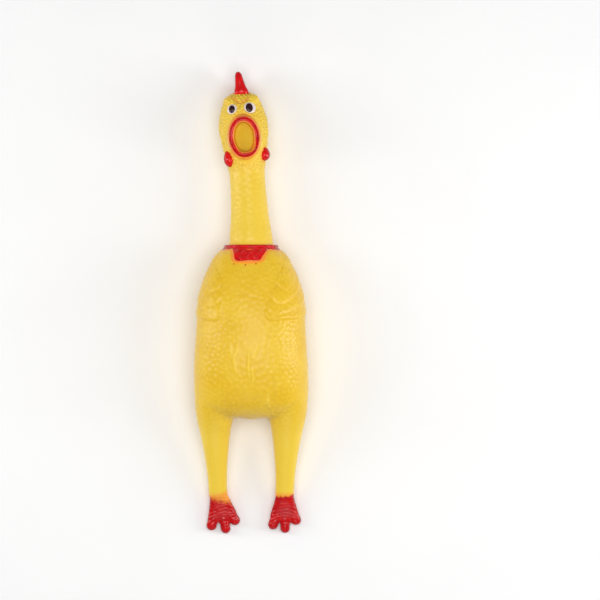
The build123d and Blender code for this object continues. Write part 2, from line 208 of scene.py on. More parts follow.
# %% [markdown]
# The neck is a round tube that narrows to the head, and the head is an egg that widens to the cheeks
# and closes at the crown. Both lean to the toy's right and drop a little to the floor.

# %% Neck and head
HEAD_LEAN = radians(4.8)
DROP = radians(5)
neck_path = (head_nod - neck_bend) / np.linalg.norm(head_nod - neck_bend)
head_path = np.array([-np.sin(HEAD_LEAN), np.cos(HEAD_LEAN), -np.sin(DROP)])
head_path = head_path / np.linalg.norm(head_path)
head_across = np.array([np.cos(HEAD_LEAN), np.sin(HEAD_LEAN), 0])


def on_neck(y):
    """The point of the neck's middle line at y."""
    return neck_bend + neck_path * ((y - neck_bend[1]) / neck_path[1])[:, None]


def on_head(distance):
    """The point of the head's middle line this far past the nod."""
    return head_nod + head_path * np.asarray(distance, float)[..., None]


neck_y = np.linspace(52, 120, 60)
neck_outline = {"y": [52, 64, 70, 80, 95, 110, 120], "half": [16, 14.6, 14.3, 13.2, 12.2, 11.8, 12.2]}
(neck_half,) = curves(neck_outline, neck_y)
add_form("neck", tube(on_neck(neck_y), X, Z, neck_half, neck_half, neck_half * 0.98))

head_outline = {
    "at": [-6, 0, 6, 12, 18, 24, 30, 36, 41, 45, 48.2, 50],
    "half": [11.6, 12.0, 13.0, 14.2, 15.1, 15.9, 15.7, 14.4, 12.7, 10.8, 7.6, 3.2],
    "deep": [11.6, 12.0, 13.2, 14.6, 16.2, 17.4, 17.6, 16.4, 14.4, 11.6, 7.6, 3.0],
}
head_at = np.concatenate([np.linspace(-6, 44, 60), np.linspace(44.5, 50, 14)])
head_half, head_deep = curves(head_outline, head_at)
head_up = np.cross(head_across, head_path)
add_form("head", tube(on_head(head_at), head_across, head_up, head_half, head_deep, head_deep, 2.1, 96))

# %% [markdown]
# Round the open beak the face swells into a soft rim that carries the painted lips, and above the eyes
# there are two brows with a groove between them.

# %% Muzzle and brows
lip_half = np.array([10.8, 14.5])
muzzle_z = np.linspace(20, 38.4, 16)
muzzle_share = (muzzle_z - muzzle_z[0]) / np.ptp(muzzle_z)
muzzle_flare = 1.18 - 0.14 * muzzle_share - 0.05 * muzzle_share**6
mouth_middle = np.stack([mouth[0] + 0 * muzzle_z, mouth[1] + 0 * muzzle_z, muzzle_z], -1)
mouth_along = np.array([-np.sin(HEAD_LEAN), np.cos(HEAD_LEAN), 0])
muzzle = tube(
    mouth_middle, head_across, mouth_along,
    lip_half[0] * muzzle_flare, lip_half[1] * muzzle_flare, lip_half[1] * muzzle_flare,
)
add_form("muzzle", muzzle)


def ball(centre, half_sizes, turn=0.0, rows=24, around=36):
    """An ellipsoid: rings at heights cos(b), with radius sin(b), scaled by the half sizes, and turned
    about z."""
    b = np.linspace(0.02, pi - 0.02, rows)
    c, s = np.cos(turn), np.sin(turn)
    right, forward = np.array([c, s, 0]), np.array([-s, c, 0])
    middle = np.asarray(centre) + forward * (half_sizes[1] * -np.cos(b))[:, None]
    half_across, half_up = half_sizes[0] * np.sin(b), half_sizes[2] * np.sin(b)
    return tube(middle, right, Z, half_across, half_up, half_up, 2, around)


for side in (-1, 1):
    brow = on_head(43.0) + head_across * side * 5.9 + Z * 7.4
    add_form("brow", ball(brow, (5.8, 4.6, 5.4), HEAD_LEAN + side * 0.35))

# %% [markdown]
# Each leg runs from inside the torso to the ankle: a thick thigh that thins to a straight shank. The
# foot is a webbed paddle with three blunt toes.

# %% Legs and feet
FOOT_TURN = {"left": 0.0, "right": radians(10.7)}
FOOT_DROP = 0.19
toes = {  # how far beside the ankle each toe ends, its reach from the ankle, and its thickness
    "left": ((-7.9, 26.2, 3.4), (0.3, 28.6, 3.3), (7.8, 23.0, 3.4)),
    "right": ((-8.6, 25.6, 3.5), (0.4, 29.4, 3.3), (7.8, 25.0, 3.4)),
}
leg_outline = {
    "at": [-18, -8, 0, 7, 14, 24, 34, 44, 53],
    "half": [12.8, 12.8, 12.0, 10.6, 9.4, 8.1, 7.0, 6.4, 6.3],
    "deep": [17, 15, 12.8, 10.9, 9.4, 7.9, 6.7, 5.9, 5.2],
}
palm_outline = {
    "at": [-3, 2, 7, 12, 17, 20.6],
    "half": [5.6, 6.0, 7.2, 8.7, 9.9, 9.0],
    "deep": [5.0, 4.6, 3.8, 3.2, 2.7, 1.6],
}
TOE_ROOT = 9  # how far past the ankle the toes begin


def foot_directions(side):
    """Ahead along a foot, with a fall of FOOT_DROP for each unit in plan, and level across it."""
    turn, sign = FOOT_TURN[side], SIDES[side]
    ahead = np.array([-sign * np.sin(turn), -np.cos(turn), -FOOT_DROP])
    return ahead, np.array([np.cos(turn), -sign * np.sin(turn), 0])


for side in SIDES:
    down = (ankle[side] - hip[side]) / np.linalg.norm(ankle[side] - hip[side])
    leg_at = np.linspace(-18, 53, 60)
    leg_half, leg_deep = curves(leg_outline, leg_at)
    leg_up = np.cross(X, down)
    leg_up = leg_up * np.sign(leg_up[2])
    leg_middle = hip[side] + down * leg_at[:, None]
    add_form(f"{side} leg", tube(leg_middle, X, leg_up, leg_half, leg_deep, leg_deep, 2.1))

    ahead, beside = foot_directions(side)
    ahead = ahead / np.linalg.norm(ahead)
    foot_up = np.cross(beside, ahead)
    foot_up = foot_up * np.sign(foot_up[2])
    palm_at = np.linspace(-3, 20.6, 24)
    palm_half, palm_deep = curves(palm_outline, palm_at)
    palm_middle = ankle[side] + ahead * palm_at[:, None]
    add_form(f"{side} palm", tube(palm_middle, beside, foot_up, palm_half, palm_deep, palm_deep * 0.85, 2.5))
    for apart, reach, thick in toes[side]:
        root = ankle[side] + ahead * TOE_ROOT + beside * apart * 0.45
        tip = ankle[side] + ahead * (reach - thick) + beside * apart
        toe_length = np.linalg.norm(tip - root)
        toe_path = (tip - root) / toe_length
        toe_end = toe_length + thick * np.sin(np.linspace(0.15, 1.5, 8))
        toe_at = np.concatenate([np.linspace(0, toe_length, 14), toe_end])
        past = np.clip((toe_at - toe_length) / thick, 0, 1)
        toe_half = np.where(
            toe_at < toe_length,
            thick * (0.92 + 0.12 * (toe_at / toe_length) ** 3),
            1.04 * thick * np.sqrt(1 - past**2),
        )
        toe_beside = np.cross(toe_path, foot_up)
        toe_beside = toe_beside / np.linalg.norm(toe_beside)
        toe_middle = root + toe_path * toe_at[:, None]
        toe_rings = tube(toe_middle, toe_beside, foot_up, toe_half, toe_half * 0.95, toe_half * 0.8)
        add_form(f"{side} toe", toe_rings)

# %% [markdown]
# The forms overlap like lumps of clay. A voxel remesh turns them into one skin of even quads, which
# grids of rings cannot do where a leg leaves the torso. Then every point moves some way to the mean of
# its neighbours, again and again, and the joins between the lumps soften into fillets.


# %% One skin
def mesh_of(name, points, faces):
    """A Blender mesh from points in millimetres and faces."""
    mesh = bpy.data.meshes.new(name)
    mesh.from_pydata((points * MM).tolist(), [], faces if isinstance(faces, list) else faces.tolist())
    mesh.update()
    return mesh


def remeshed(name, shapes, voxel):
    """One even quad mesh, as points and faces, round the union of closed shapes."""
    offset, all_points, all_faces = 0, [], []
    for points, faces in shapes:
        all_points.append(points)
        all_faces += [[corner + offset for corner in face] for face in faces]
        offset += len(points)
    scratch = bpy.data.objects.new(name, mesh_of(name, np.concatenate(all_points), all_faces))
    bpy.context.scene.collection.objects.link(scratch)
    modifier = scratch.modifiers.new("remesh", "REMESH")
    modifier.mode = "VOXEL"
    modifier.voxel_size = voxel * MM
    result = scratch.evaluated_get(bpy.context.evaluated_depsgraph_get()).to_mesh()
    points = np.empty(len(result.vertices) * 3)
    result.vertices.foreach_get("co", points)
    corners = np.empty(len(result.polygons) * 4, int)
    result.polygons.foreach_get("vertices", corners)
    bpy.data.objects.remove(scratch)
    return points.reshape(-1, 3) / MM, corners.reshape(-1, 4)


def edges_of(faces):
    """The two ends of each edge once, as the unique sorted pairs of corners that follow each other."""
    pairs = np.concatenate([faces[:, [0, 1]], faces[:, [1, 2]], faces[:, [2, 3]], faces[:, [3, 0]]])
    return np.unique(np.sort(pairs, 1), axis=0)


def relax(points, edges, rounds, share=0.5):
    """Every point moves by share of the way to the mean of its neighbours, rounds times."""
    count = len(points)
    a, b = edges.T
    degree = np.bincount(a, minlength=count) + np.bincount(b, minlength=count)
    share = np.broadcast_to(share, count)[:, None]
    for _ in range(rounds):
        mean = np.stack([
            np.bincount(a, points[b, k], count) + np.bincount(b, points[a, k], count) for k in range(3)
        ], -1) / degree[:, None]
        points = points + share * (mean - points)
    return points


def normals_of(points, faces):
    """Unit normal at each point: the sum of the cross products of its faces' diagonals."""
    cross = np.cross(points[faces[:, 2]] - points[faces[:, 0]], points[faces[:, 3]] - points[faces[:, 1]])
    total = np.stack([
        np.bincount(faces.ravel(), np.repeat(cross[:, k], 4), len(points)) for k in range(3)
    ], -1)
    return total / np.maximum(np.linalg.norm(total, axis=1, keepdims=True), 1e-12)


VOXEL = 0.56
skin, skin_faces = remeshed("skin", forms, VOXEL)
skin_edges = edges_of(skin_faces)
print("skin points", len(skin), "faces", len(skin_faces))
crotch = np.exp(-((skin[:, 1] + 53) / 7) ** 2)
shoulder = np.exp(-((skin[:, 1] - 62) / 6) ** 2)
skin = relax(skin, skin_edges, 14)
skin = relax(skin, skin_edges, 40, 0.55 * np.maximum(crotch, 0.6 * shoulder))
normal = normals_of(skin, skin_faces)


# %% [markdown]
# The mould's surface is the toy's character: rows of pimples like goose flesh, finer scales on the
# head, folded wings in low relief and ridges across the feet. Pimples have to be evenly spread but not
# in rows. So random points of the skin become seeds, and each seed moves a few times to the middle of
# the points that are nearest to it, which evens them out.


# %% Evenly spread seeds
BLOCK = 16000  # points that are compared with all seeds at a time


def nearest(points, seeds):
    """Distance of every point to its nearest seed, and which seed that is. The square of a distance is
    |p|^2 + |s|^2 - 2 p.s, worked out for a block of points at a time."""
    closest, which = np.empty(len(points)), np.empty(len(points), int)
    seeds = seeds.astype(np.float32)
    seed_square = (seeds**2).sum(1)
    for start in range(0, len(points), BLOCK):
        block = points[start:start + BLOCK].astype(np.float32)
        square = (block**2).sum(1)[:, None] + seed_square - 2 * block @ seeds.T
        index = square.argmin(1)
        closest[start:start + BLOCK] = square[np.arange(len(block)), index]
        which[start:start + BLOCK] = index
    return np.sqrt(np.maximum(closest, 0)), which


def spread_seeds(points, pitch, rounds=6):
    """Seeds about pitch apart: as many random points as hexagons of that pitch cover the area, each
    moved rounds times to the mean of the points nearest to it."""
    area = len(points) * VOXEL**2
    count = int(area / (0.866 * pitch**2))
    seeds = points[rng.choice(len(points), count, replace=False)]
    sample = points[rng.choice(len(points), min(len(points), 24 * count), replace=False)]
    for _ in range(rounds):
        which = nearest(sample, seeds)[1]
        hits = np.maximum(np.bincount(which, minlength=count), 1)[:, None]
        seeds = np.stack([np.bincount(which, sample[:, k], count) for k in range(3)], -1) / hits
    return seeds


def pimples(points, pitch, round_share=0.56):
    """Height from 0 to 1 of pimples pitch apart: a raised cosine round each seed, with each pimple's
    own size between 0.65 and 1."""
    seeds = spread_seeds(points, pitch)
    distance, which = nearest(points, seeds)
    size = rng.uniform(0.65, 1.0, len(seeds))[which]
    return 0.5 * (1 + np.cos(pi * np.clip(distance / (round_share * pitch), 0, 1))) * size


# %% [markdown]
# Every feature below is a height, in millimetres, that is later added along the skin's normal. First
# come the masks that say where each texture belongs.

# %% Where on the toy each point is
x, y, z = skin.T
along_head = (skin - head_nod) @ head_path
across_head = (skin - head_nod) @ head_across
from_mouth = (skin - mouth) @ np.stack([head_across, mouth_along], 1)
mouth_ring = np.sqrt(((from_mouth / lip_half) ** 2).sum(1))
off_mouth = (mouth_ring - 1) * lip_half.min()
above_face = (z > 26) & (along_head > 0)
side_of = np.where(x > 0, 1, -1)
on_leg = ease(y, -50, -60)
on_neck_share = ease(y, 58, 64) * ease(along_head, 2, -6)
on_head_share = ease(along_head, -6, 2)
print("leg points", int((on_leg > 0.5).sum()), "head points", int((on_head_share > 0.5).sum()))

# %% [markdown]
# The pimples nearly fade out on the shanks. They are weaker on the neck, on the flanks towards the legs
# and in the middle of the belly, and higher on the shoulders.

# %% Pimples of the body and scales of the head
BODY_PITCH, HEAD_PITCH = 4.3, 2.8  # from pimple to pimple
BODY_RISE, HEAD_RISE = 0.46, 1.05
body_mask = on_head_share < 1
body_pimples = np.zeros(len(skin))
body_pimples[body_mask] = pimples(skin[body_mask], BODY_PITCH)
head_mask = on_head_share > 0
head_scales = np.zeros(len(skin))
head_scales[head_mask] = pimples(skin[head_mask], HEAD_PITCH)
patches = 0.5 + 0.5 * np.sin(x * 0.21 + 1.3) * np.sin(y * 0.13 + 0.4) * np.sin(z * 0.17 + 2.0)
low_on_leg = ease(y, -44, -70)
smooth_side = ease(np.abs(x), 26, 33) * ease(y, 10, -6) * ease(z, 18, 26)
neck_front = 0.25 * on_neck_share * ease(normal[:, 2], 0.2, 0.8)
shoulders = 0.9 * np.exp(-(((y - 52) / 9) ** 2)) * ease(np.abs(x), 14, 24)
middle_of_belly = np.exp(-(((x + 1) / 20) ** 2)) * ease(z, 30, 42) * ease(y, -52, -30)
body_amount = (1 - 0.86 * low_on_leg) * (1 - 0.4 * smooth_side) * (0.7 + 0.3 * patches)
body_amount = body_amount * (1 - 0.4 * on_neck_share) * (1 - neck_front)
body_amount = body_amount * (1 - on_head_share) * (1 - 0.45 * middle_of_belly) * (1 + shoulders)
near_lips = ease(off_mouth, 2.0, 0.8) * above_face
head_amount = on_head_share * (1 - near_lips)
relief = BODY_RISE * body_amount * body_pimples + HEAD_RISE * head_amount * head_scales
pebble = body_amount * body_pimples + head_amount * head_scales
print("pimples up to", relief.max().round(2), "mm")

# %% [markdown]
# A folded wing lies on each side: four overlapping feathers whose round tips point to the belly. A
# feather is a strip with a round end, drawn on a map of the skin whose axes are the distance round the
# body from the middle of the belly, and y. The strips get lower towards the back, as in the mould.

# %% Wings
angle_round = np.arctan2(np.abs(x + 1.5) / 38, (z - 25) / 31)
round_body = 36 * angle_round


def feather(tip, root, width):
    """Height from 0 to 1 of a strip from tip to root: the square root of 1 - (d / width)^4, where d is
    the distance to the strip's middle line, which gives it a flat top, a steep rim and a round end. It
    slopes up away from the head, so that its lower rim seems to lie over the next strip."""
    tip, root = np.array(tip, float), np.array(root, float)
    axis = root - tip
    here = np.stack([round_body, y], -1) - tip
    t = np.clip(here @ axis / (axis @ axis), 0, 1)
    offset = here - t[:, None] * axis
    rim = np.sqrt(np.clip(1 - ((offset**2).sum(1) / width**2) ** 2, 0, 1))
    return rim * (1 - 0.4 * t) * (0.62 - 0.38 * offset[:, 1] / width)


WING_RISE = 1.7
wing_height = np.zeros(len(skin))
feathers = {  # tip and root of each, as distance round the body and y, and half its width
    1: (
        ((26.6, 39), (56, 58), 6.4), ((21.4, 30), (58, 49), 6.4),
        ((17.4, 22), (60, 36), 6.2), ((15.0, 18.0), (62, 22), 5.2),
    ),
    -1: (
        ((26.6, 38), (56, 57), 6.4), ((25.0, 29.5), (58, 48), 6.2),
        ((23.4, 21.4), (60, 35), 6.0), ((22.4, 18.0), (62, 22), 5.2),
    ),
}
for sign, strips in feathers.items():
    here = (side_of == sign) & (y < 60) & (y > 0)
    for tip, root, width in strips:
        wing_height = np.where(here, np.maximum(wing_height, feather(tip, root, width)), wing_height)
wing_edge = ease(wing_height, 0.0, 0.35)
relief = relief * (1 - 0.3 * wing_edge) + WING_RISE * wing_height
print("wings up to", (WING_RISE * wing_height.max()).round(2), "mm")

# %% [markdown]
# Soft vinyl keeps the creases of its packing: a few short upright folds on the belly, one each side of
# the tail, and shallow dents. The folds are narrow ridges, paler along them: the vinyl whitens where the
# fold strains it, and the pale line is also a painted highlight on each ridge.


# %% Creases
def across_line(start, end, width):
    """Distance across a line on the upper side, over width, and a fade to nothing at both its ends."""
    start, end = np.array(start, float), np.array(end, float)
    length = np.linalg.norm(end - start)
    axis = (end - start) / length
    here = skin[:, :2] - start
    share = here @ axis / length
    wander = 0.5 * np.sin(share * 5 + start[0])
    s = (here @ np.array([-axis[1], axis[0]]) + wander) / width
    return s, ease(share, -0.1, 0.25) * ease(share, 1.1, 0.7) * (z > 24)


# Paler along the folds: partly whitened vinyl, partly a painted highlight on each ridge.
whitened_and_highlit = np.zeros(len(skin))
for start, end, width, height in (
    ((-14.2, -2), (-11.2, -13), 0.75, 0.5),
    ((-9.2, -4), (-11.0, -13), 0.75, 0.35),
    ((-11.4, -10), (-10.2, -24), 0.75, 0.55),
    ((-1.6, -4), (-0.8, -29), 0.8, 0.6),
    ((1.6, -18), (1.0, -30), 0.75, 0.4),
    ((3.6, -2), (2.4, -14), 0.9, 0.25),
    ((12.6, -34), (11.0, -46), 1.1, 0.5),
):
    s, fade = across_line(start, end, width)
    relief = relief + height * np.exp(-(s**2)) * fade
    whitened_and_highlit = np.maximum(whitened_and_highlit, np.exp(-(s**2)) * fade)
for start, end, width, height in (
    ((-15.5, -38), (-12.5, -51), 2.2, 0.6),
    ((10.0, -36), (8.6, -49), 2.4, -0.8),
    ((14.0, -20), (16.0, -34), 2.2, 0.4),
):
    s, fade = across_line(start, end, width)
    relief = relief + height * s * np.exp(-(s**2)) * fade
frown = np.zeros(len(skin))
for end in ((-14.2, 163.2), (-0.8, 164.0)):
    s, fade = across_line((-7.3, 158.6), end, 0.9)
    frown = np.maximum(frown, np.exp(-(s**2)) * fade * (y > 150))
relief = relief - 0.65 * frown
dents = np.sin(x * 0.11 + 0.5) * np.sin(y * 0.083 + 1.1) + 0.6 * np.sin(x * 0.19 - y * 0.07 + 2)
relief = relief + 0.22 * dents * (1 - on_head_share) * (1 - on_leg)

# %% [markdown]
# Each eye sits in a shallow socket with a raised lid round it. The socket follows the distance to the
# skin's point under the eye, so it lies right on the curved face.


# %% Eye sockets
eyes = {  # place in plan, half the white's width and height, and the pupil's half sizes and offset
    "left": ((-0.8, 156.0), (4.2, 3.9), (2.5, 3.2), (-0.5, -0.1)),
    "right": ((-12.8, 154.8), (3.6, 3.6), (2.2, 2.7), (0.0, 0.0)),
}


def seat(place):
    """The upper skin point nearest to a place in plan, and the mean normal within 2.5 mm of it."""
    gap = np.hypot(*(skin[:, :2] - place).T) + 100 * (skin[:, 2] < 18)
    direction = normal[gap < 2.5].mean(0)
    return skin[gap.argmin()], direction / np.linalg.norm(direction)


LID_RISE, SOCKET_DEPTH = 0.45, 0.7
eye_seats = {}
for side, (place, _, _, _) in eyes.items():
    point, direction = seat(place)
    eye_seats[side] = point, (direction + 0.8 * Z) / np.linalg.norm(direction + 0.8 * Z)
for side, (place, white, _, _) in eyes.items():
    radius = sum(white) / 2
    distance = np.linalg.norm(skin - eye_seats[side][0], axis=1)
    relief = relief * ease(distance, radius, radius + 1.2)
    lid = LID_RISE * np.exp(-(((distance - radius - 0.5) / 0.6) ** 2))
    relief = relief + lid - SOCKET_DEPTH * ease(distance, radius, radius - 0.8)
print("eyes look along", {side: direction.round(2).tolist() for side, (_, direction) in eye_seats.items()})

# %% [markdown]
# Ridges run across the feet from the ankle to the toes, like a hen's scutes.

# %% Feet
SCUTE_PITCH, SCUTE_RISE = 2.3, 0.12
past_ankle = np.zeros(len(skin))
beside_ankle = np.zeros(len(skin))
over_foot = np.zeros(len(skin))
for side, sign in SIDES.items():
    ahead, beside = foot_directions(side)
    here = (side_of == sign) & (y < -80)
    past_ankle = np.where(here, (skin - ankle[side]) @ ahead, past_ankle)
    beside_ankle = np.where(here, (skin - ankle[side]) @ beside, beside_ankle)
    over_foot = np.where(here, normal[:, 2], over_foot)
uneven = 0.35 * np.sin(past_ankle * 0.8) + 0.3 * np.sin(beside_ankle * 0.6 + past_ankle * 0.5)
wave = np.sin((past_ankle - 0.03 * beside_ankle**2 + uneven) * 2 * pi / SCUTE_PITCH)
scutes = np.abs(wave) ** 0.6 * np.sign(wave)
foot_share = ease(past_ankle, -3, 3) * (y < -90)
relief = relief + SCUTE_RISE * scutes * foot_share * ease(past_ankle, 27, 22) * ease(over_foot, -0.2, 0.3)

# %% [markdown]
# The mouth is a deep oval recess. Its points drop straight down to just under the squeaker's cap. The
# underside is pressed almost flat, because the soft toy lies on it, in two levels a quarter of a
# millimetre apart.

# %% Add the heights and sink the mouth
MOUTH_FLOOR_UNDER_CAP = 2.6
LOWEST = 0.02  # the toy's underside, just clear of the floor
skin = skin + normal * relief[:, None]
sunk = ease(mouth_ring, 0.93, 0.87) * above_face
floor_level = cap_top - MOUTH_FLOOR_UNDER_CAP
skin[:, 2] = np.where(above_face, skin[:, 2] + sunk * (floor_level - skin[:, 2]), skin[:, 2])
level = skin[:, 2]
pressed = 0.25 * np.exp(np.minimum(2 * (level - 0.5), 0)) + 0.25 * (level > 0)
skin[:, 2] = np.maximum(np.where(level < 0.5, pressed, level), LOWEST)
normal = normals_of(skin, skin_faces)
print("skin from", skin.min(0).round(1), "to", skin.max(0).round(1))

# %% [markdown]
# Paint and vinyl are one material, so the skin carries masks that say where the red was sprayed, where
# a thin orange edge shows round the brushed parts, and how deep between the pimples a point lies, which
# sets painted shade there. The place of each point at rest goes with it as well: patterns read that, and
# don't slide as it bends.


# %% Paint masks
x, y, z = skin.T
collar_y = 61.9
bib_outline = np.array([
    (12.8, 61.6), (11.0, 59.2), (9.0, 56.2), (8.0, 53.8), (6.2, 52.7), (2.0, 52.4), (-4.0, 52.3),
    (-9.6, 52.4), (-11.7, 53.2), (-12.4, 55.4), (-12.5, 58.6), (-13.6, 61.6), (-7.0, 62.0), (0.0, 62.0),
    (7.0, 62.0),
])
bib_middle = np.array([-1.0, 57.4])
between = np.linspace(0, 1, 12, endpoint=False)[:, None, None]
bib_outline = (bib_outline + between * (np.roll(bib_outline, -1, 0) - bib_outline)).reshape(-1, 2)
# The red starts this far past the ankle, and fades in from half a width before to a width after.
spray_start = {"left": (1.6, 2.2), "right": (3.2, 7.0)}
sideways = {"left": 0.1, "right": -0.42}  # how much earlier it starts for each unit along x
paint = np.zeros(len(skin))
for side, sign in SIDES.items():
    start, width = spray_start[side]
    here = (side_of == sign) & (y < -90)
    slant = sideways[side] * (x - ankle[side][0]) + 0.35 * np.sin(x * 1.7 + z)
    paint = np.where(here, ease(past_ankle + slant, start - width * 0.5, start + width), paint)
for spot in ((-11.2, 51.0), (-3.6, 50.3), (3.4, 51.2)):
    distance = np.hypot(x - spot[0], y - spot[1]) + 10 * (z < 30)
    paint = np.maximum(paint, 0.75 * ease(distance, 1.0, 0.3))

# The bib's edge as a radius for each angle round its middle.
bib_angle = np.arctan2(*(bib_outline - bib_middle).T[::-1])
bib_order = np.argsort(bib_angle)
bib_radius = np.hypot(*(bib_outline - bib_middle).T)[bib_order]
bib_angle = bib_angle[bib_order]
round_bib = np.arctan2(y - bib_middle[1], x - bib_middle[0])
off_bib = np.hypot(x - bib_middle[0], y - bib_middle[1])
off_bib = off_bib - np.interp(round_bib, bib_angle, bib_radius, period=2 * pi)
from_comb = np.abs(along_head - 50.5) + 0.25 * np.abs(across_head)
wattles = {  # place in plan, half the length, half the width, and the lean
    "left": ((8.9, 125.0), 4.7, 4.3, 0.10),
    "right": ((-14.9, 121.8), 5.6, 4.0, -0.16),
}
wattle_seats = [seat(np.array(place))[0] for place, _, _, _ in wattles.values()]
from_wattle = np.min([np.linalg.norm(skin - place, axis=1) for place in wattle_seats], axis=0)
halo = np.maximum.reduce([
    np.exp(-np.maximum(off_mouth - 0.5, 0) / 0.65) * above_face * ease(z, 31, 36),
    0.95 * np.exp(-np.maximum(off_bib - 0.5, 0) / 0.7) * (z > 30) * (y < 62),
    0.8 * np.exp(-np.maximum(np.abs(y - collar_y) - 1.8, 0) / 0.5),
    0.7 * ease(from_comb, 5.0, 1.5),
    0.8 * ease(from_wattle, 6.2, 4.4),
    0.6 * frown,
])
halo = np.where(y < -90, np.maximum(halo, 0.9 * ease(past_ankle, -2.0, 2.5)), halo)
# Painted shade: how deep a point lies between the pimples and the head's scales, which darkens it there.
hollow = np.clip(1 - pebble / 0.5, 0, 1) * np.clip(0.7 * body_amount + 1.3 * head_amount, 0, 1)
pale = np.maximum(ease(y, 60, 66) * 0.9 + 0.9 * ease(y, -40, -70), whitened_and_highlit)
# Painted shade for the red: dark where a point faces sideways.
steep = ease(np.abs(normal[:, 2]), 0.7, 0.1)
print("painted points", int((paint > 0.5).sum()))

# %% [markdown]
# The skin is cut into pieces where nothing bends. Each piece is closed by a fan inside the toy, and it
# keeps the normals of the whole skin, so that no seam shows.


# %% Cut the skin into pieces
MARGIN = 0.8  # from a cut to the start of the bend beside it
bends = {  # y where a piece starts to leave one body, and y where it follows only the next
    "neck_root": (64.5, 80.5),
    "neck_middle": (87.0, 103.0),
    "head": (106.5, 120.0),
    "hip": (-54.5, -70.0),
    "knee": (-72.5, -84.5),
    "ankle": (-96.5, -107.5),
}
CUT = {
    "neck_root": 64.5 - MARGIN, "neck_middle": 83.8, "head": 104.8,
    "hip": -54.5 + MARGIN, "knee": -71.3, "ankle": -90.5,
}
belly_tilt = np.array([0, -0.1, 1])
BELLY_START, BELLY_END = 41.8, 57.8

face_middle = skin[skin_faces].mean(1)
fx, fy = face_middle[:, 0], face_middle[:, 1]
region = np.zeros(len(skin_faces), int)
region[face_middle @ belly_tilt > BELLY_START - MARGIN] = 1
region[fy > CUT["neck_root"]] = 2
region[fy > CUT["neck_middle"]] = 3
region[fy > CUT["head"]] = 4
for place, number in (("hip", 5), ("knee", 7), ("ankle", 9)):
    region[(fy < CUT[place]) & (fx > 0)] = number
    region[(fy < CUT[place]) & (fx < 0)] = number + 1
region_names = [
    "torso_vinyl", "belly_vinyl", "neck_root_vinyl", "neck_middle_vinyl", "head_vinyl",
    "left_thigh_vinyl", "right_thigh_vinyl", "left_shank_vinyl", "right_shank_vinyl",
    "left_foot_vinyl", "right_foot_vinyl",
]


def add_attribute(mesh, name, kind, values):
    """One value, or one vector, for each point of a mesh, which a material can read by its name."""
    layer = mesh.attributes.new(name, kind, "POINT")
    field = "vector" if kind == "FLOAT_VECTOR" else "value"
    layer.data.foreach_set(field, np.ravel(values).astype(np.float32))


def link(name, mesh):
    """A new object that shows the mesh, at the origin, with smooth faces."""
    made = bpy.data.objects.new(name, mesh)
    bpy.context.scene.collection.objects.link(made)
    mesh.polygons.foreach_set("use_smooth", np.ones(len(mesh.polygons), bool))
    return made


def border_of(number):
    """The border edges of a piece, and the number of the piece on the other side of each. A border edge
    belongs to one face of this region and one of another."""
    sides = np.concatenate([skin_faces[:, [k, (k + 1) % 4]] for k in range(4)])
    owner = np.tile(region, 4)
    keys = np.sort(sides, 1) @ np.array([len(skin), 1])
    order = np.argsort(keys, kind="stable")
    first, second = order[0::2], order[1::2]
    mine = np.concatenate([first[owner[first] == number], second[owner[second] == number]])
    other = np.concatenate([second[owner[first] == number], first[owner[second] == number]])
    border = owner[mine] != owner[other]
    return sides[mine[border]], owner[other[border]]


def skin_piece(number):
    """One region of the skin as an object. Each border is closed by triangles from its edges to its
    mean point, and the piece keeps the whole skin's normals."""
    name = region_names[number]
    faces = skin_faces[region == number]
    edges, neighbours = border_of(number)
    used, compact = np.unique(faces, return_inverse=True)
    new_index = np.full(len(skin), -1)
    new_index[used] = np.arange(len(used))
    points, normals = skin[used], normal[used]
    all_faces = compact.reshape(-1, 4).tolist()
    for neighbour in np.unique(neighbours):
        ring = new_index[edges[neighbours == neighbour]]
        middle = points[ring[:, 0]].mean(0)
        hub = np.full(len(ring), len(points))
        all_faces += np.stack([ring[:, 1], ring[:, 0], hub], 1).tolist()
        points = np.concatenate([points, middle[None]])
        normals = np.concatenate([normals, Y[None]])
    spare = len(points) - len(used)
    mesh = mesh_of(name, points, all_faces)
    made = link(name, mesh)
    mesh.normals_split_custom_set_from_vertices(normals.tolist())
    for label, values in masks.items():
        add_attribute(mesh, label, "FLOAT", np.concatenate([values[used], np.zeros(spare)]))
    add_attribute(mesh, "rest", "FLOAT_VECTOR", points * MM)
    print(name, "points", len(points), "caps", spare)
    return made


masks = {"paint": paint, "halo": halo, "hollow": hollow, "pale": pale, "steep": steep}
pieces = {region_names[number]: skin_piece(number) for number in range(len(region_names))}

# %% [markdown]
# The torso's piece rides on the torso. The other pieces keep their place at rest, and each stands for the
# nodes that it replaces.


# %% Place the skin pieces and hide the nodes they stand for
def down_to(name, near, far, place, end, *nodes):
    """Bakes a piece's place into its points, hides the nodes that it stands for, and gives it the yellow
    vinyl slot. Near, far, place and end are not used.
    """
    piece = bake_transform(pieces[name])
    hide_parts(*nodes)
    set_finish(piece, "yellow_vinyl")


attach(pieces["torso_vinyl"], "torso")
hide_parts("torso_skin", "left_wing", "right_wing")
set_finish(pieces["torso_vinyl"], "yellow_vinyl")
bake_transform(pieces["belly_vinyl"])
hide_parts("belly_panel")
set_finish(pieces["belly_vinyl"], "yellow_vinyl")
down_to("neck_root_vinyl", "torso", "lower_neck", *bends["neck_root"], "lower_neck_skin")
down_to("neck_middle_vinyl", "lower_neck", "upper_neck", *bends["neck_middle"], "upper_neck_skin")
down_to("head_vinyl", "upper_neck", "head", *bends["head"], "head_skin")
for side in SIDES:
    down_to(f"{side}_thigh_vinyl", "torso", f"{side}_thigh", *bends["hip"], f"{side}_thigh_skin")
    down_to(f"{side}_shank_vinyl", f"{side}_thigh", f"{side}_shank", *bends["knee"], f"{side}_shank_skin")
    down_to(f"{side}_foot_vinyl", f"{side}_shank", f"{side}_foot", *bends["ankle"], f"{side}_foot")

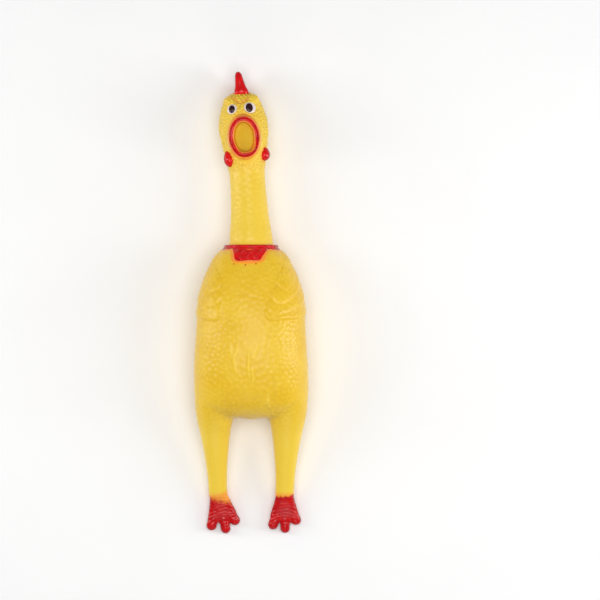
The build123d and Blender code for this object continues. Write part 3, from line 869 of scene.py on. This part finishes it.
# %% [markdown]
# The lips are a rolled band round the open beak. Its outer edge is nearly an ellipse. The opening
# has a squarer corner low on one side and a flatter one on the other, like a face moulded by hand. A
# profile goes round both: up the inside of the mouth, over two rolls with a groove between them, and
# down into the face.


# %% Lips
def loop_faces(rows, columns):
    """Quads of a grid that closes on itself both ways, like a tyre."""
    r, c = np.meshgrid(np.arange(rows), np.arange(columns), indexing="ij")
    below, beside = (r + 1) % rows, (c + 1) % columns
    corners = [r * columns + c, r * columns + beside, below * columns + beside, below * columns + c]
    return np.stack(corners, -1).reshape(-1, 4)


def rounded(turn, half, power):
    """Distance from the middle to a superellipse: (|cos / a|^n + |sin / b|^n) to the power -1 / n."""
    return (np.abs(np.cos(turn) / half[0]) ** power + np.abs(np.sin(turn) / half[1]) ** power) ** (-1 / power)


def smoothed(values, width=5):
    """Running mean over width values of a ring."""
    return np.mean([np.roll(values, k) for k in range(-(width // 2), width // 2 + 1)], 0)


def skin_height(place, spread=0.8):
    """Height of the upper skin at places in plan: the mean of its points, each with weight
    exp(-(d / spread)^2)."""
    low, high = place.min(0) - 3, place.max(0) + 3
    near = skin[(skin[:, :2] > low).all(1) & (skin[:, :2] < high).all(1) & (skin[:, 2] > 18)]
    square = ((place[:, None, :] - near[None, :, :2]) ** 2).sum(-1)
    weight = np.exp(-(square - square.min(1, keepdims=True)) / spread**2)
    return (weight * near[:, 2]).sum(1) / weight.sum(1)


lip_turn = 2 * pi * np.arange(168) / 168
low_left = np.clip(np.cos(lip_turn - radians(230)), 0, 1) ** 2
low_right = np.clip(np.cos(lip_turn - radians(308)), 0, 1) ** 2
opening = smoothed(rounded(lip_turn, (6.9, 10.2), 2.05 + 2.4 * low_right - 0.3 * low_left), 9)
outside = rounded(lip_turn, lip_half, 2.1)
cap_edge = rounded(lip_turn, (6.34, 10.19), 2)
lip_ray = np.stack([np.cos(lip_turn), np.sin(lip_turn)], -1) @ np.stack([head_across, mouth_along])
face_place = mouth[:2] + lip_ray[:, :2] * (outside + 0.6)[:, None]
face_height = smoothed(skin_height(face_place), 9)
crest = 39.4 + 0.9 * -np.cos(2 * lip_turn)

band = outside - opening
lip_steps = [  # distance from the middle, height, red paint, bare vinyl, and painted shade on the red
    (cap_edge - 0.3, 0 * crest + cap_top - 0.8, 0.0, 0.0, 0.0),
    (cap_edge - 0.1, 0 * crest + cap_top + 0.15, 0.0, 0.8, 0.0),
    (0.3 * cap_edge + 0.7 * opening, 0.4 * cap_top + 0.6 * crest, 0.0, 1.0, 0.0),
    (opening - 0.04 * band, crest - 1.4, 0.0, 1.0, 0.0),
    (opening + 0.04 * band, crest - 0.65, 0.0, 1.0, 0.0),
    (opening + 0.12 * band, crest - 0.40, 0.2, 1.0, 0.0),
    (opening + 0.19 * band, crest - 0.15, 1.0, 0.1, 0.3),
    (opening + 0.34 * band, crest - 0.00, 1.0, 0.0, 0.0),
    (opening + 0.48 * band, crest - 0.15, 1.0, 0.0, 0.1),
    (opening + 0.54 * band, crest - 0.65, 1.0, 0.0, 0.8),
    (opening + 0.61 * band, crest - 0.25, 1.0, 0.0, 0.1),
    (opening + 0.75 * band, crest - 0.10, 1.0, 0.0, 0.0),
    (opening + 0.91 * band, 0.3 * crest + 0.7 * face_height, 1.0, 0.0, 0.4),
    (outside + 0.15, face_height + 0.2, 1.0, 0.0, 0.9),
    (outside - 0.05, face_height - 0.35, 1.0, 0.0, 1.0),
    (outside - 0.9, face_height - 1.2, 0.4, 0.0, 0.0),
    (0.8 * outside, 0 * crest + cap_top + 1.0, 0.0, 0.0, 0.0),
]


def along_steps(values, pace):
    """Values of a profile's steps, one row a step, read at every pace of a step from smooth curves
    between them."""
    steps = np.arange(0, len(values) - 0.99, pace)
    slopes = np.gradient(values, axis=0)
    i = np.clip(steps.astype(int), 0, len(values) - 2)
    t = (steps - i).reshape(-1, *[1] * (values.ndim - 1))
    rise = (3 * t**2 - 2 * t**3) * (values[i + 1] - values[i])
    return values[i] + rise + t * (1 - t) ** 2 * slopes[i] - t**2 * (1 - t) * slopes[i + 1]


LIP_PACE = 0.25
lip_reach = along_steps(np.array([step[0] for step in lip_steps]), LIP_PACE)
lip_level = along_steps(np.array([step[1] for step in lip_steps]), LIP_PACE)
lip_tones = np.clip(along_steps(np.array([step[2:] for step in lip_steps]), LIP_PACE), 0, 1)
# The last column is painted shade in the lips' groove and at their outer edge.
lip_paint, lip_bare, lip_shade = np.repeat(lip_tones, len(lip_turn), axis=0).T
lip_points = mouth * np.array([1, 1, 0]) + lip_reach[..., None] * lip_ray + lip_level[..., None] * Z
print("lips", lip_points.min((0, 1)).round(1), lip_points.max((0, 1)).round(1))


def new_piece(name, points, faces, body, slot, *nodes, **values):
    """A piece that rides on a body, stands for CAD nodes, and carries values on its points."""
    piece = link(name, mesh_of(name, points, faces))
    upward = np.array([vertex.normal.z for vertex in piece.data.vertices])
    # Painted shade on steep sides, unless a piece brings its own.
    values.setdefault("steep", ease(np.abs(upward), 0.75, 0.15))
    for label, amounts in values.items():
        add_attribute(piece.data, label, "FLOAT", np.broadcast_to(amounts, len(points)))
    add_attribute(piece.data, "rest", "FLOAT_VECTOR", points * MM)
    if body:
        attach(piece, body)
    if nodes:
        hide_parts(*nodes)
    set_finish(piece, slot)
    pieces[name] = piece
    return piece


new_piece(
    "painted_lips", lip_points.reshape(-1, 3), loop_faces(*lip_points.shape[:2]),
    "head", "red_paint", "lips", paint=lip_paint, bare=lip_bare, steep=lip_shade,
)

# %% [markdown]
# An eye is a white dome with a darker, higher dome on it. Rings of one grid make both, so the edge of
# the pupil runs along a ring and stays sharp.


# %% Eyes
pupil_rows, white_rows = 9, 12
pupil_share = np.sin(np.linspace(0.06, pi / 2, pupil_rows))
white_share = np.linspace(0, 1, white_rows + 1)[1:]
for side, (_, white, pupil, look) in eyes.items():
    place, facing = eye_seats[side]
    across = head_across - (head_across @ facing) * facing
    across = across / np.linalg.norm(across)
    frame_up = np.cross(facing, across)
    grow = np.concatenate([0 * pupil_share, white_share])[:, None]
    inner = np.concatenate([pupil_share[:, None] * pupil, 0 * white_share[:, None] + pupil])
    half = inner * (1 - grow) + grow * np.array(white)
    middle = (1 - grow) * np.array(look)
    share = np.concatenate([0.66 * pupil_share, 0.66 + 0.34 * white_share])
    dome = 1.7 * np.sqrt(1 - 0.96 * share**2) - 0.45
    dome[:pupil_rows] += 0.45 * np.sqrt(np.clip(1 - pupil_share**2, 0, 1))
    half = np.concatenate([half, half[-1:] * 0.98])
    middle = np.concatenate([middle, middle[-1:]])
    dome = np.append(dome, -1.6)
    turn = 2 * pi * np.arange(56) / 56
    ring = middle[:, None, :] + half[:, None, :] * np.stack([np.cos(turn), np.sin(turn)], -1)
    rings = place + ring[..., :1] * across + ring[..., 1:] * frame_up + dome[:, None, None] * facing
    points, faces = closed_tube(rings[::-1])
    eye = new_piece(f"{side}_eye_dome", points, faces, "head", "eye_paint", f"{side}_eye")
    dark = np.zeros(len(eye.data.polygons), int)
    first_dark = (white_rows + 1) * len(turn)
    dark[first_dark:first_dark + (pupil_rows - 1) * len(turn)] = 1
    dark[-len(turn):] = 1
    eye.data.polygons.foreach_set("material_index", dark)
    print(side, "eye", rings.min((0, 1)).round(1), rings.max((0, 1)).round(1))

# %% [markdown]
# Wattles are soft drops that hang beside the throat. The comb is a blade with three lobes, seen from
# the belly along its edge: broad where it grows out of the crown, and rounded at its tip.


# %% Wattles and comb
for side, (place, length, plump, lean) in wattles.items():
    root, facing = seat(np.array(place))
    down = -head_path + lean * head_across
    down = down - (down @ facing) * facing
    down = down / np.linalg.norm(down)
    beside = np.cross(facing, down)
    t = np.concatenate([[0.02], np.linspace(0.08, 0.92, 22), [0.97, 0.995]])
    drop_half = plump * np.sqrt(np.sin(pi * t**1.1)) * (0.86 + 0.2 * t)
    drop_centres = root + facing * 0.3 + down * (2 * length * (t - 0.5))[:, None]
    rings = tube(drop_centres, beside, facing, drop_half, 0.85 * drop_half, 0.6 * drop_half, 2.1, 48)
    points, faces = closed_tube(rings)
    drop = new_piece(
        f"{side}_wattle_drop", points, faces, None, "red_paint", f"{side}_wattle", paint=1.0, bare=0.0,
    )
    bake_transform(drop)
    print(side, "wattle", points.min(0).round(1), points.max(0).round(1))

comb_side = np.array([  # outline from the side: towards the face, and height
    (5.5, 0.0), (7.6, 5.0), (8.8, 8.4), (8.0, 11.8), (7.4, 17.0), (5.4, 21.4), (2.0, 21.6),
    (0.0, 18.0), (-1.6, 14.2), (-4.4, 16.6), (-7.0, 16.2), (-8.2, 12.2), (-10.4, 11.2),
    (-12.4, 9.0), (-12.0, 3.0), (-9.6, -1.0), (0.0, -2.0),
])
COMB_LEAN = radians(9.5)
comb_up = np.array([-np.sin(COMB_LEAN), np.cos(COMB_LEAN), -0.03])
comb_up = comb_up / np.linalg.norm(comb_up)
comb_front = np.cross(np.array([np.cos(COMB_LEAN), np.sin(COMB_LEAN), 0]), comb_up)
comb_across = np.cross(comb_up, comb_front)
around = np.linspace(0, len(comb_side), 160, endpoint=False)
wrapped = np.concatenate([comb_side[-3:], comb_side, comb_side[:3]])
knots = np.arange(-3, len(comb_side) + 3)
comb_edge = np.stack([smoothed(through(around, knots, wrapped[:, k]), 5) for k in range(2)], -1)
comb_heart = np.array([0.0, 8.0])
blade = np.sin(np.linspace(0.03, pi / 2, 22))
blade = np.concatenate([blade, blade[-2::-1]])
flank = np.concatenate([np.ones(22), -np.ones(21)])
flat = comb_heart + blade[:, None, None] * (comb_edge - comb_heart)
width = through(flat[..., 1], [-2, 6, 8, 12, 17, 21], [5.0, 4.9, 4.5, 3.6, 2.8, 2.5])
wrinkle = 1 + 0.09 * np.sin(flat[..., 0] * 1.9 + 1) * ease(flat[..., 1], 14, 6) * (blade[:, None] < 0.99)
bulge = flank[:, None] * width * wrinkle * (1 - blade[:, None] ** 9) ** 0.5
comb_base = on_head(42.0) * np.array([1, 1, 0]) + Z * 17.0 + comb_across * 1.1
rings = comb_base + flat[..., :1] * comb_front + flat[..., 1:] * comb_up + bulge[..., None] * comb_across
points, faces = closed_tube(rings)
new_piece("painted_comb", points, faces, "head", "red_paint", "comb", paint=1.0, bare=0.0)
print("comb", points.min(0).round(1), points.max(0).round(1))

# %% [markdown]
# A red collar lies round the root of the neck, with a bib on the breast. Both are raised parts of the
# mould, so their foot follows the skin. The bib has a rolled rim, two rows of plain beads, and a wavy
# garland between them.


# %% Collar and bib
collar_turn = 2 * pi * np.arange(180) / 180
collar_middle = np.array([neck_bend[0] + 0.9, 24.6])
ring_skin = skin[np.abs(skin[:, 1] - 61.0) < 0.8][:, [0, 2]] - collar_middle
ring_turn = np.arctan2(ring_skin[:, 1], ring_skin[:, 0])
order = np.argsort(ring_turn)
collar_radius = np.interp(collar_turn, ring_turn[order], np.hypot(*ring_skin.T)[order], period=2 * pi)
collar_radius = smoothed(smoothed(collar_radius, 13), 9)
neck_radius = 0 * collar_radius + 13.6
collar_steps = [  # distance from the neck's middle, y
    (collar_radius - 1.2, 59.6), (collar_radius + 0.1, 59.9), (collar_radius + 0.3, 60.5),
    (collar_radius - 0.2, 61.5), (collar_radius - 0.9, 62.1), (collar_radius - 0.7, 62.6),
    (collar_radius - 0.9, 63.3), (collar_radius - 1.6, 63.9), (collar_radius - 2.2, 64.0),
    (neck_radius, 63.9), (neck_radius, 62.4), (collar_radius - 3.2, 60.4),
]
COLLAR_PACE = 0.34
collar_reach = along_steps(np.array([reach for reach, _ in collar_steps]), COLLAR_PACE)
collar_place = along_steps(np.array([level for _, level in collar_steps]), COLLAR_PACE)
collar_ray = np.stack([np.cos(collar_turn), 0 * collar_turn, np.sin(collar_turn)], -1)
collar_points = np.array([collar_middle[0], 0, collar_middle[1]]) + collar_reach[..., None] * collar_ray
collar_points = collar_points + collar_place[:, None, None] * Y
new_piece(
    "painted_collar", collar_points.reshape(-1, 3), loop_faces(*collar_points.shape[:2])[:, ::-1],
    "torso", "red_paint", "collar", paint=1.0, bare=0.0,
)
print("collar", collar_points.min((0, 1)).round(1), collar_points.max((0, 1)).round(1))

bib_turn = 2 * pi * np.arange(176) / 176
bib_reach = smoothed(np.interp(bib_turn, bib_angle, bib_radius, period=2 * pi), 5)
bib_share = np.concatenate([np.linspace(0.03, 0.9, 30), [0.93, 0.96, 0.985, 1.0, 1.01, 0.9, 0.5, 0.1]])
bib_ray = np.stack([np.cos(bib_turn), np.sin(bib_turn)], -1)
bib_plan = bib_middle + bib_share[:, None, None] * bib_reach[:, None] * bib_ray
bib_floor = skin_height(bib_plan.reshape(-1, 2), 1.6).reshape(bib_plan.shape[:2])
to_edge = (1 - bib_share)[:, None] * bib_reach
bib_rise = 0.85 + 0.45 * np.exp(-(((to_edge - 0.9) / 0.5) ** 2))
BEAD_PITCH, BEAD_RADIUS = 5.0, 1.35
for row_y, start_x, count in ((59.4, -8.8, 4), (55.2, -6.2, 3)):
    for bead in range(count):
        gap = np.hypot(bib_plan[..., 0] - start_x - BEAD_PITCH * bead, bib_plan[..., 1] - row_y)
        bib_rise = bib_rise + 0.7 * np.sqrt(np.clip(1 - (gap / BEAD_RADIUS) ** 2, 0, 1))
garland = bib_plan[..., 1] - 57.3 - 1.5 * np.sin((bib_plan[..., 0] + 11.3) * 2 * pi / BEAD_PITCH)
bib_rise = bib_rise + 0.5 * np.exp(-((garland / 0.75) ** 2)) * ease(to_edge, 1.4, 2.2)
skirt = np.array([0.9, 0.65, 0.25, -0.6, -1.6, -1.9, -1.9, -1.9])[:, None]
bib_rise[-8:] = np.where(np.arange(8)[:, None] < 3, skirt + 0.3, skirt)
rings = np.concatenate([bib_plan, (bib_floor + bib_rise)[..., None]], -1)
points, faces = closed_tube(rings)
bare = ease(to_edge, 1.5, 0.9) * (bib_share <= 1.0)[:, None] * (bib_plan[..., 1] < 61.0)
bare = np.append(bare, [0, 0])
new_piece(
    "painted_bib", points, [face[::-1] for face in faces],
    "torso", "red_paint", "collar_bib", paint=1.0, bare=bare,
)
print("bib", points.min(0).round(1), points.max(0).round(1))

# %% [markdown]
# Now the finishes. Colours are given as they look on a screen and turned into the linear values that
# shader nodes work with. Effects that several finishes share are node groups with named inputs and
# outputs: fine grain of the vinyl, soft blotches of colour, specks of painted shade in hollows, and the
# thin spots of brushed paint.


# %% Node helpers
def colour(red, green, blue):
    """Linear colour of a screen colour from 0 to 255: ((c + 0.055) / 1.055) to the power 2.4."""
    screen = np.array([red, green, blue]) / 255
    linear = np.where(screen <= 0.04045, screen / 12.92, ((screen + 0.055) / 1.055) ** 2.4)
    return (*linear.tolist(), 1.0)


def new_group(name, inputs, output):
    """An empty node group with float inputs and their defaults, a Vector input first, and one output."""
    group = bpy.data.node_groups.new(name, "ShaderNodeTree")
    group.interface.new_socket("Vector", in_out="INPUT", socket_type="NodeSocketVector")
    for label, value in inputs.items():
        socket = group.interface.new_socket(label, in_out="INPUT", socket_type="NodeSocketFloat")
        socket.default_value = value
    group.interface.new_socket(output, in_out="OUTPUT", socket_type="NodeSocketFloat")
    return group, group.nodes.new("NodeGroupInput"), group.nodes.new("NodeGroupOutput")


def join(tree, source, target):
    tree.links.new(source, target)


def noise(tree, vector, scale, detail=3.0, roughness=0.55):
    """A Noise Texture node, whose scale is a number or a socket."""
    node = tree.nodes.new("ShaderNodeTexNoise")
    node.inputs["Detail"].default_value = detail
    node.inputs["Roughness"].default_value = roughness
    join(tree, vector, node.inputs["Vector"])
    if isinstance(scale, (int, float)):
        node.inputs["Scale"].default_value = scale
    else:
        join(tree, scale, node.inputs["Scale"])
    return node.outputs[0]


def calculate(tree, operation, first, second=None, third=None):
    """A Math node: each value is a number or a socket."""
    node = tree.nodes.new("ShaderNodeMath")
    node.operation = operation
    for socket, value in zip(node.inputs, (first, second, third)):
        if isinstance(value, (int, float)):
            socket.default_value = value
        elif value is not None:
            join(tree, value, socket)
    return node.outputs[0]


def spread(tree, value, low, high, to_low=0.0, to_high=1.0):
    """A Map Range node that eases value from low..high to to_low..to_high."""
    node = tree.nodes.new("ShaderNodeMapRange")
    node.interpolation_type = "SMOOTHSTEP"
    join(tree, value, node.inputs["Value"])
    for label, number in (("From Min", low), ("From Max", high), ("To Min", to_low), ("To Max", to_high)):
        node.inputs[label].default_value = number
    return node.outputs[0]


# %% [markdown]
# Grain is the slight orange peel of moulded vinyl. Blotches are slow changes of tone. Specks of painted
# shade sit where the hollow value is high. Thin paint is where a brush left less red.

# %% Shared effects
grain_group, grain_in, grain_out = new_group("Vinyl grain", {"Scale": 900.0, "Fine share": 0.4}, "Height")
coarse = noise(grain_group, grain_in.outputs["Vector"], grain_in.outputs["Scale"], 2.0)
fine_scale = calculate(grain_group, "MULTIPLY", grain_in.outputs["Scale"], 3.7)
fine = noise(grain_group, grain_in.outputs["Vector"], fine_scale, 3.0)
fine = calculate(grain_group, "MULTIPLY", fine, grain_in.outputs["Fine share"])
join(grain_group, calculate(grain_group, "ADD", coarse, fine), grain_out.inputs["Height"])

blotch_group, blotch_in, blotch_out = new_group("Soft blotches", {"Scale": 60.0, "Amount": 1.0}, "Mask")
blot = noise(blotch_group, blotch_in.outputs["Vector"], blotch_in.outputs["Scale"], 4.0, 0.6)
blot = spread(blotch_group, blot, 0.36, 0.66)
blot = calculate(blotch_group, "MULTIPLY", blot, blotch_in.outputs["Amount"])
join(blotch_group, blot, blotch_out.inputs["Mask"])

# Painted shade, broken into specks, where the hollow value is high.
speck_shade_group, speck_shade_in, speck_shade_out = new_group("Shade specks in hollows", {"Hollow": 0.0, "Amount": 0.3}, "Mask")
speck = spread(speck_shade_group, noise(speck_shade_group, speck_shade_in.outputs["Vector"], 420.0, 5.0, 0.7), 0.42, 0.62)
shaded_specks = calculate(speck_shade_group, "MULTIPLY", speck, speck_shade_in.outputs["Hollow"])
shaded_specks = calculate(speck_shade_group, "MULTIPLY", shaded_specks, speck_shade_in.outputs["Amount"])
join(speck_shade_group, shaded_specks, speck_shade_out.inputs["Mask"])

thin_inputs = {"Paint": 0.0, "Ragged": 0.5, "Softness": 0.24}
thin_group, thin_in, thin_out = new_group("Thin paint", thin_inputs, "Mask")
flow = noise(thin_group, thin_in.outputs["Vector"], 700.0, 4.0, 0.65)
flow = calculate(thin_group, "SUBTRACT", flow, 0.5)
flow = calculate(thin_group, "MULTIPLY", flow, thin_in.outputs["Ragged"])
flow = calculate(thin_group, "ADD", flow, thin_in.outputs["Paint"])
flow = calculate(thin_group, "SUBTRACT", flow, 0.5)
flow = calculate(thin_group, "DIVIDE", flow, thin_in.outputs["Softness"])
join(thin_group, spread(thin_group, flow, -0.5, 0.5), thin_out.inputs["Mask"])
print("node groups:", ", ".join(group.name for group in bpy.data.node_groups))

# %% [markdown]
# A finish starts with one colour and lays others over it, each through a mask, as a painter does. The
# gloss comes from the shader, and the fine grain from a bump.


# %% Finish helpers
class Finish:
    """A material whose Principled shader gets its colour from layers, each laid over the last."""

    def __init__(self, name, **constants):
        self.material = bpy.data.materials.new(name)
        self.material.use_nodes = True
        self.tree = self.material.node_tree
        self.shader = self.tree.nodes["Principled BSDF"]
        for label, value in constants.items():
            self.shader.inputs[label.replace("_", " ").title().replace("Ior", "IOR")].default_value = value
        self.current = None

    def attribute(self, name, output="Fac"):
        """A value that the piece carries on its points."""
        node = self.tree.nodes.new("ShaderNodeAttribute")
        node.attribute_name = name
        return node.outputs[output]

    def place(self):
        """The place of each point when the toy is at rest, which every new piece carries."""
        return self.attribute("rest", "Vector")

    def share(self, name, amount):
        """A value that the piece carries, times an amount."""
        return calculate(self.tree, "MULTIPLY", self.attribute(name), amount)

    def effect(self, group, output, vector, **values):
        """A shared effect, with its own number or socket for each of the group's inputs."""
        node = self.tree.nodes.new("ShaderNodeGroup")
        node.node_tree = group
        join(self.tree, vector, node.inputs["Vector"])
        for label, value in values.items():
            socket = node.inputs[label.replace("_", " ")]
            if isinstance(value, (int, float)):
                socket.default_value = value
            else:
                join(self.tree, value, socket)
        return node.outputs[output]

    def layer(self, tone, mask=None):
        """Lays a colour over the present one where mask is 1."""
        if mask is None:
            self.current = tone
            return
        node = self.tree.nodes.new("ShaderNodeMix")
        node.data_type = "RGBA"
        join(self.tree, mask, node.inputs["Factor"])
        below, above, mixed = node.inputs[6], node.inputs[7], node.outputs[2]  # the sockets for colours
        if isinstance(self.current, tuple):
            below.default_value = self.current
        else:
            join(self.tree, self.current, below)
        above.default_value = tone
        self.current = mixed

    def finish(self, roughness, height, strength, distance=0.0002):
        """Puts the colour, the roughness and a bump of the height on the shader."""
        join(self.tree, self.current, self.shader.inputs["Base Color"])
        join(self.tree, roughness, self.shader.inputs["Roughness"])
        bump = self.tree.nodes.new("ShaderNodeBump")
        bump.inputs["Strength"].default_value = strength
        bump.inputs["Distance"].default_value = distance
        join(self.tree, height, bump.inputs["Height"])
        join(self.tree, bump.outputs["Normal"], self.shader.inputs["Normal"])
        return self.material


# %% [markdown]
# The vinyl is a warm yellow, paler on the neck, on the legs and along creases, where the pale line is
# also a painted highlight on each fold. Painted shade darkens it between the pimples, in part as specks.
# Red sprayed over it fades through orange at its edge, because a thin coat lets yellow through, and
# painted shade darkens the red on the steep sides of the feet.

# %% Yellow vinyl, with its sprayed feet
vinyl = Finish("yellow vinyl", specular_ior_level=0.33, coat_weight=0.08, coat_roughness=0.2)
where = vinyl.place()
vinyl.layer(colour(237, 192, 38))
vinyl.layer(colour(243, 205, 60), vinyl.effect(blotch_group, "Mask", where, Scale=45.0, Amount=0.7))
vinyl.layer(colour(247, 211, 70), vinyl.attribute("pale"))
# Painted shade between the pimples.
vinyl.layer(colour(220, 170, 26), vinyl.share("hollow", 0.4))
# Darker specks of painted shade in the hollows between the pimples.
speckled_shade = vinyl.effect(speck_shade_group, "Mask", where, Hollow=vinyl.attribute("hollow"), Amount=0.25)
vinyl.layer(colour(190, 150, 60), speckled_shade)
vinyl.layer(colour(250, 148, 56), vinyl.share("halo", 0.9))
sprayed = vinyl.effect(thin_group, "Mask", where, Paint=vinyl.attribute("paint"), Ragged=0.5, Softness=0.75)
vinyl.layer(colour(205, 2, 8), sprayed)
blotched = vinyl.effect(blotch_group, "Mask", where, Scale=160.0, Amount=0.5)
vinyl.layer(colour(166, 6, 20), calculate(vinyl.tree, "MULTIPLY", sprayed, blotched))
# Painted shade: the sprayed red darkens on the steep sides of the feet.
shaded_sides = calculate(vinyl.tree, "MULTIPLY", sprayed, vinyl.attribute("steep"))
vinyl.layer(colour(96, 0, 10), calculate(vinyl.tree, "MULTIPLY", shaded_sides, 0.7))
rough = spread(vinyl.tree, noise(vinyl.tree, where, 240.0, 4.0), 0.3, 0.7, 0.28, 0.4)
rough = calculate(vinyl.tree, "MULTIPLY_ADD", sprayed, -0.1, rough)
grain = vinyl.effect(grain_group, "Height", where, Scale=1100.0, Fine_share=0.5)
vinyl_material = vinyl.finish(rough, grain, 0.35)

# %% [markdown]
# The red parts are brushed by hand: glossy, a little uneven, darker on steep sides and in the lips'
# groove, which is painted shade, and with bare orange edges.

# %% Brushed red paint
brushed = Finish("brushed red paint", specular_ior_level=0.25, coat_weight=0.2, coat_roughness=0.06)
where = brushed.place()
brushed.layer(colour(242, 168, 56))
covered = brushed.effect(thin_group, "Mask", where, Paint=brushed.attribute("paint"), Ragged=0.35)
brushed.layer(colour(228, 14, 16), covered)
brushed.layer(colour(184, 8, 18), brushed.effect(blotch_group, "Mask", where, Scale=210.0, Amount=0.55))
# Painted shade: dark red on steep sides and in the lips' groove.
brushed.layer(colour(104, 0, 12), brushed.share("steep", 0.6))
brushed.layer(colour(252, 156, 66), brushed.share("bare", 0.85))
rough = spread(brushed.tree, noise(brushed.tree, where, 380.0, 4.0), 0.3, 0.7, 0.2, 0.34)
grain = brushed.effect(grain_group, "Height", where, Scale=800.0, Fine_share=0.3)
red_material = brushed.finish(rough, grain, 0.4)

# %% [markdown]
# The eyes and the squeaker are plain materials of two tones. The squeaker's parts are nodes of the
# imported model, so their patterns read Object coordinates.


# %% Eyes and squeaker
def simple_finish(name, tone, second, scale, roughness, on_object=False, strength=0.2, **constants):
    """A finish of two tones in blotches, with varied gloss and grain."""
    made = Finish(name, **constants)
    if on_object:
        where = made.tree.nodes.new("ShaderNodeTexCoord").outputs["Object"]
    else:
        where = made.place()
    made.layer(tone)
    made.layer(second, made.effect(blotch_group, "Mask", where, Scale=scale, Amount=0.6))
    gloss = noise(made.tree, where, scale * 2.0, 4.0)
    rough = spread(made.tree, gloss, 0.3, 0.7, roughness - 0.05, roughness + 0.07)
    grain = made.effect(grain_group, "Height", where, Scale=scale * 6.0, Fine_share=0.4)
    return made.finish(rough, grain, strength)


eye_white = simple_finish(
    "eye white paint", colour(244, 230, 228), colour(232, 206, 202), 300.0, 0.24, specular_ior_level=0.4,
)
eye_dark = simple_finish(
    "eye dark paint", colour(38, 10, 24), colour(66, 26, 24), 420.0, 0.12, specular_ior_level=0.4,
)
mouth_plastic = simple_finish(
    "mouth floor vinyl", colour(224, 194, 30), colour(216, 178, 26), 120.0, 0.5, True,
    specular_ior_level=0.2,
)
white_plastic = simple_finish(
    "squeaker plastic", colour(232, 230, 222), colour(214, 210, 198), 200.0, 0.38, True,
)
film = simple_finish("reed film", colour(214, 222, 224), colour(190, 202, 208), 300.0, 0.2, True, ior=1.57)

for name, piece in pieces.items():
    finish = red_material if piece["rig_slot"] == "red_paint" else vinyl_material
    if piece["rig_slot"] == "eye_paint":
        piece.data.materials.append(eye_white)
        finish = eye_dark
    piece.data.materials.append(finish)
for node, finish in (
    ("squeaker_cap", mouth_plastic), ("squeaker_barrel", white_plastic), ("reed_block", white_plastic),
    ("reed_wedge", white_plastic), ("reed_root", film), ("reed_tongue", film),
):
    slots = frame["nodes"][node].data.materials
    slots.clear()
    slots.append(finish)
print("finishes:", ", ".join(material.name for material in bpy.data.materials if material.users))

# %% [markdown]
# The toy lies on its back on a pale floor, under a wide soft light. A long softbox on each side draws the
# highlights down the body, and one beyond the feet lights the tail. The camera looks straight down.

# %% Floor, lights and camera
FLOOR_SIZE = 3.0
corners = np.array([(-1, -1), (1, -1), (1, 1), (-1, 1)]) * FLOOR_SIZE / 2 / MM
floor = link("floor", mesh_of("floor", np.column_stack([corners, np.full(4, -0.05)]), [[0, 1, 2, 3]]))
floor.data.materials.append(simple_finish(
    "pale floor", colour(253, 253, 253), colour(250, 250, 250), 8.0, 0.7, True, 0.02,
))


def softbox(name, place, aim, size, power):
    """A rectangular light at a place, turned to what it is aimed at, that the camera doesn't see."""
    light = bpy.data.lights.new(name, "AREA")
    light.shape = "RECTANGLE"
    light.size, light.size_y = size
    light.energy = power
    made = bpy.data.objects.new(name, light)
    bpy.context.scene.collection.objects.link(made)
    made.location = place
    made.visible_camera = False
    made.rotation_euler = (Vector(place) - Vector(aim)).to_track_quat("Z", "Y").to_euler()


middle = (0.0, 0.02, 0.03)
softbox("overhead softbox", (0.05, 0.0, 1.3), middle, (0.8, 0.9), 9.0)
softbox("right softbox", (0.75, 0.0, 0.30), middle, (0.11, 0.8), 3.1)
softbox("left softbox", (-0.75, 0.1, 0.34), middle, (0.11, 0.8), 2.6)
softbox("foot softbox", (0.0, -0.8, 0.5), middle, (0.5, 0.12), 0.55)

world = bpy.data.worlds.new("plain studio")
bpy.context.scene.world = world
world.use_nodes = True
world.node_tree.nodes["Background"].inputs["Color"].default_value = (1, 1, 1, 1)
world.node_tree.nodes["Background"].inputs["Strength"].default_value = 0.22
bpy.context.scene.view_settings.view_transform = "Standard"

camera_data = bpy.data.cameras.new("camera")
camera_data.sensor_width = 36
camera_data.lens = 357.2
camera = bpy.data.objects.new("camera", camera_data)
bpy.context.scene.collection.objects.link(camera)
camera.location = (0.0329, 0.0269, 4.03)
bpy.context.scene.camera = camera
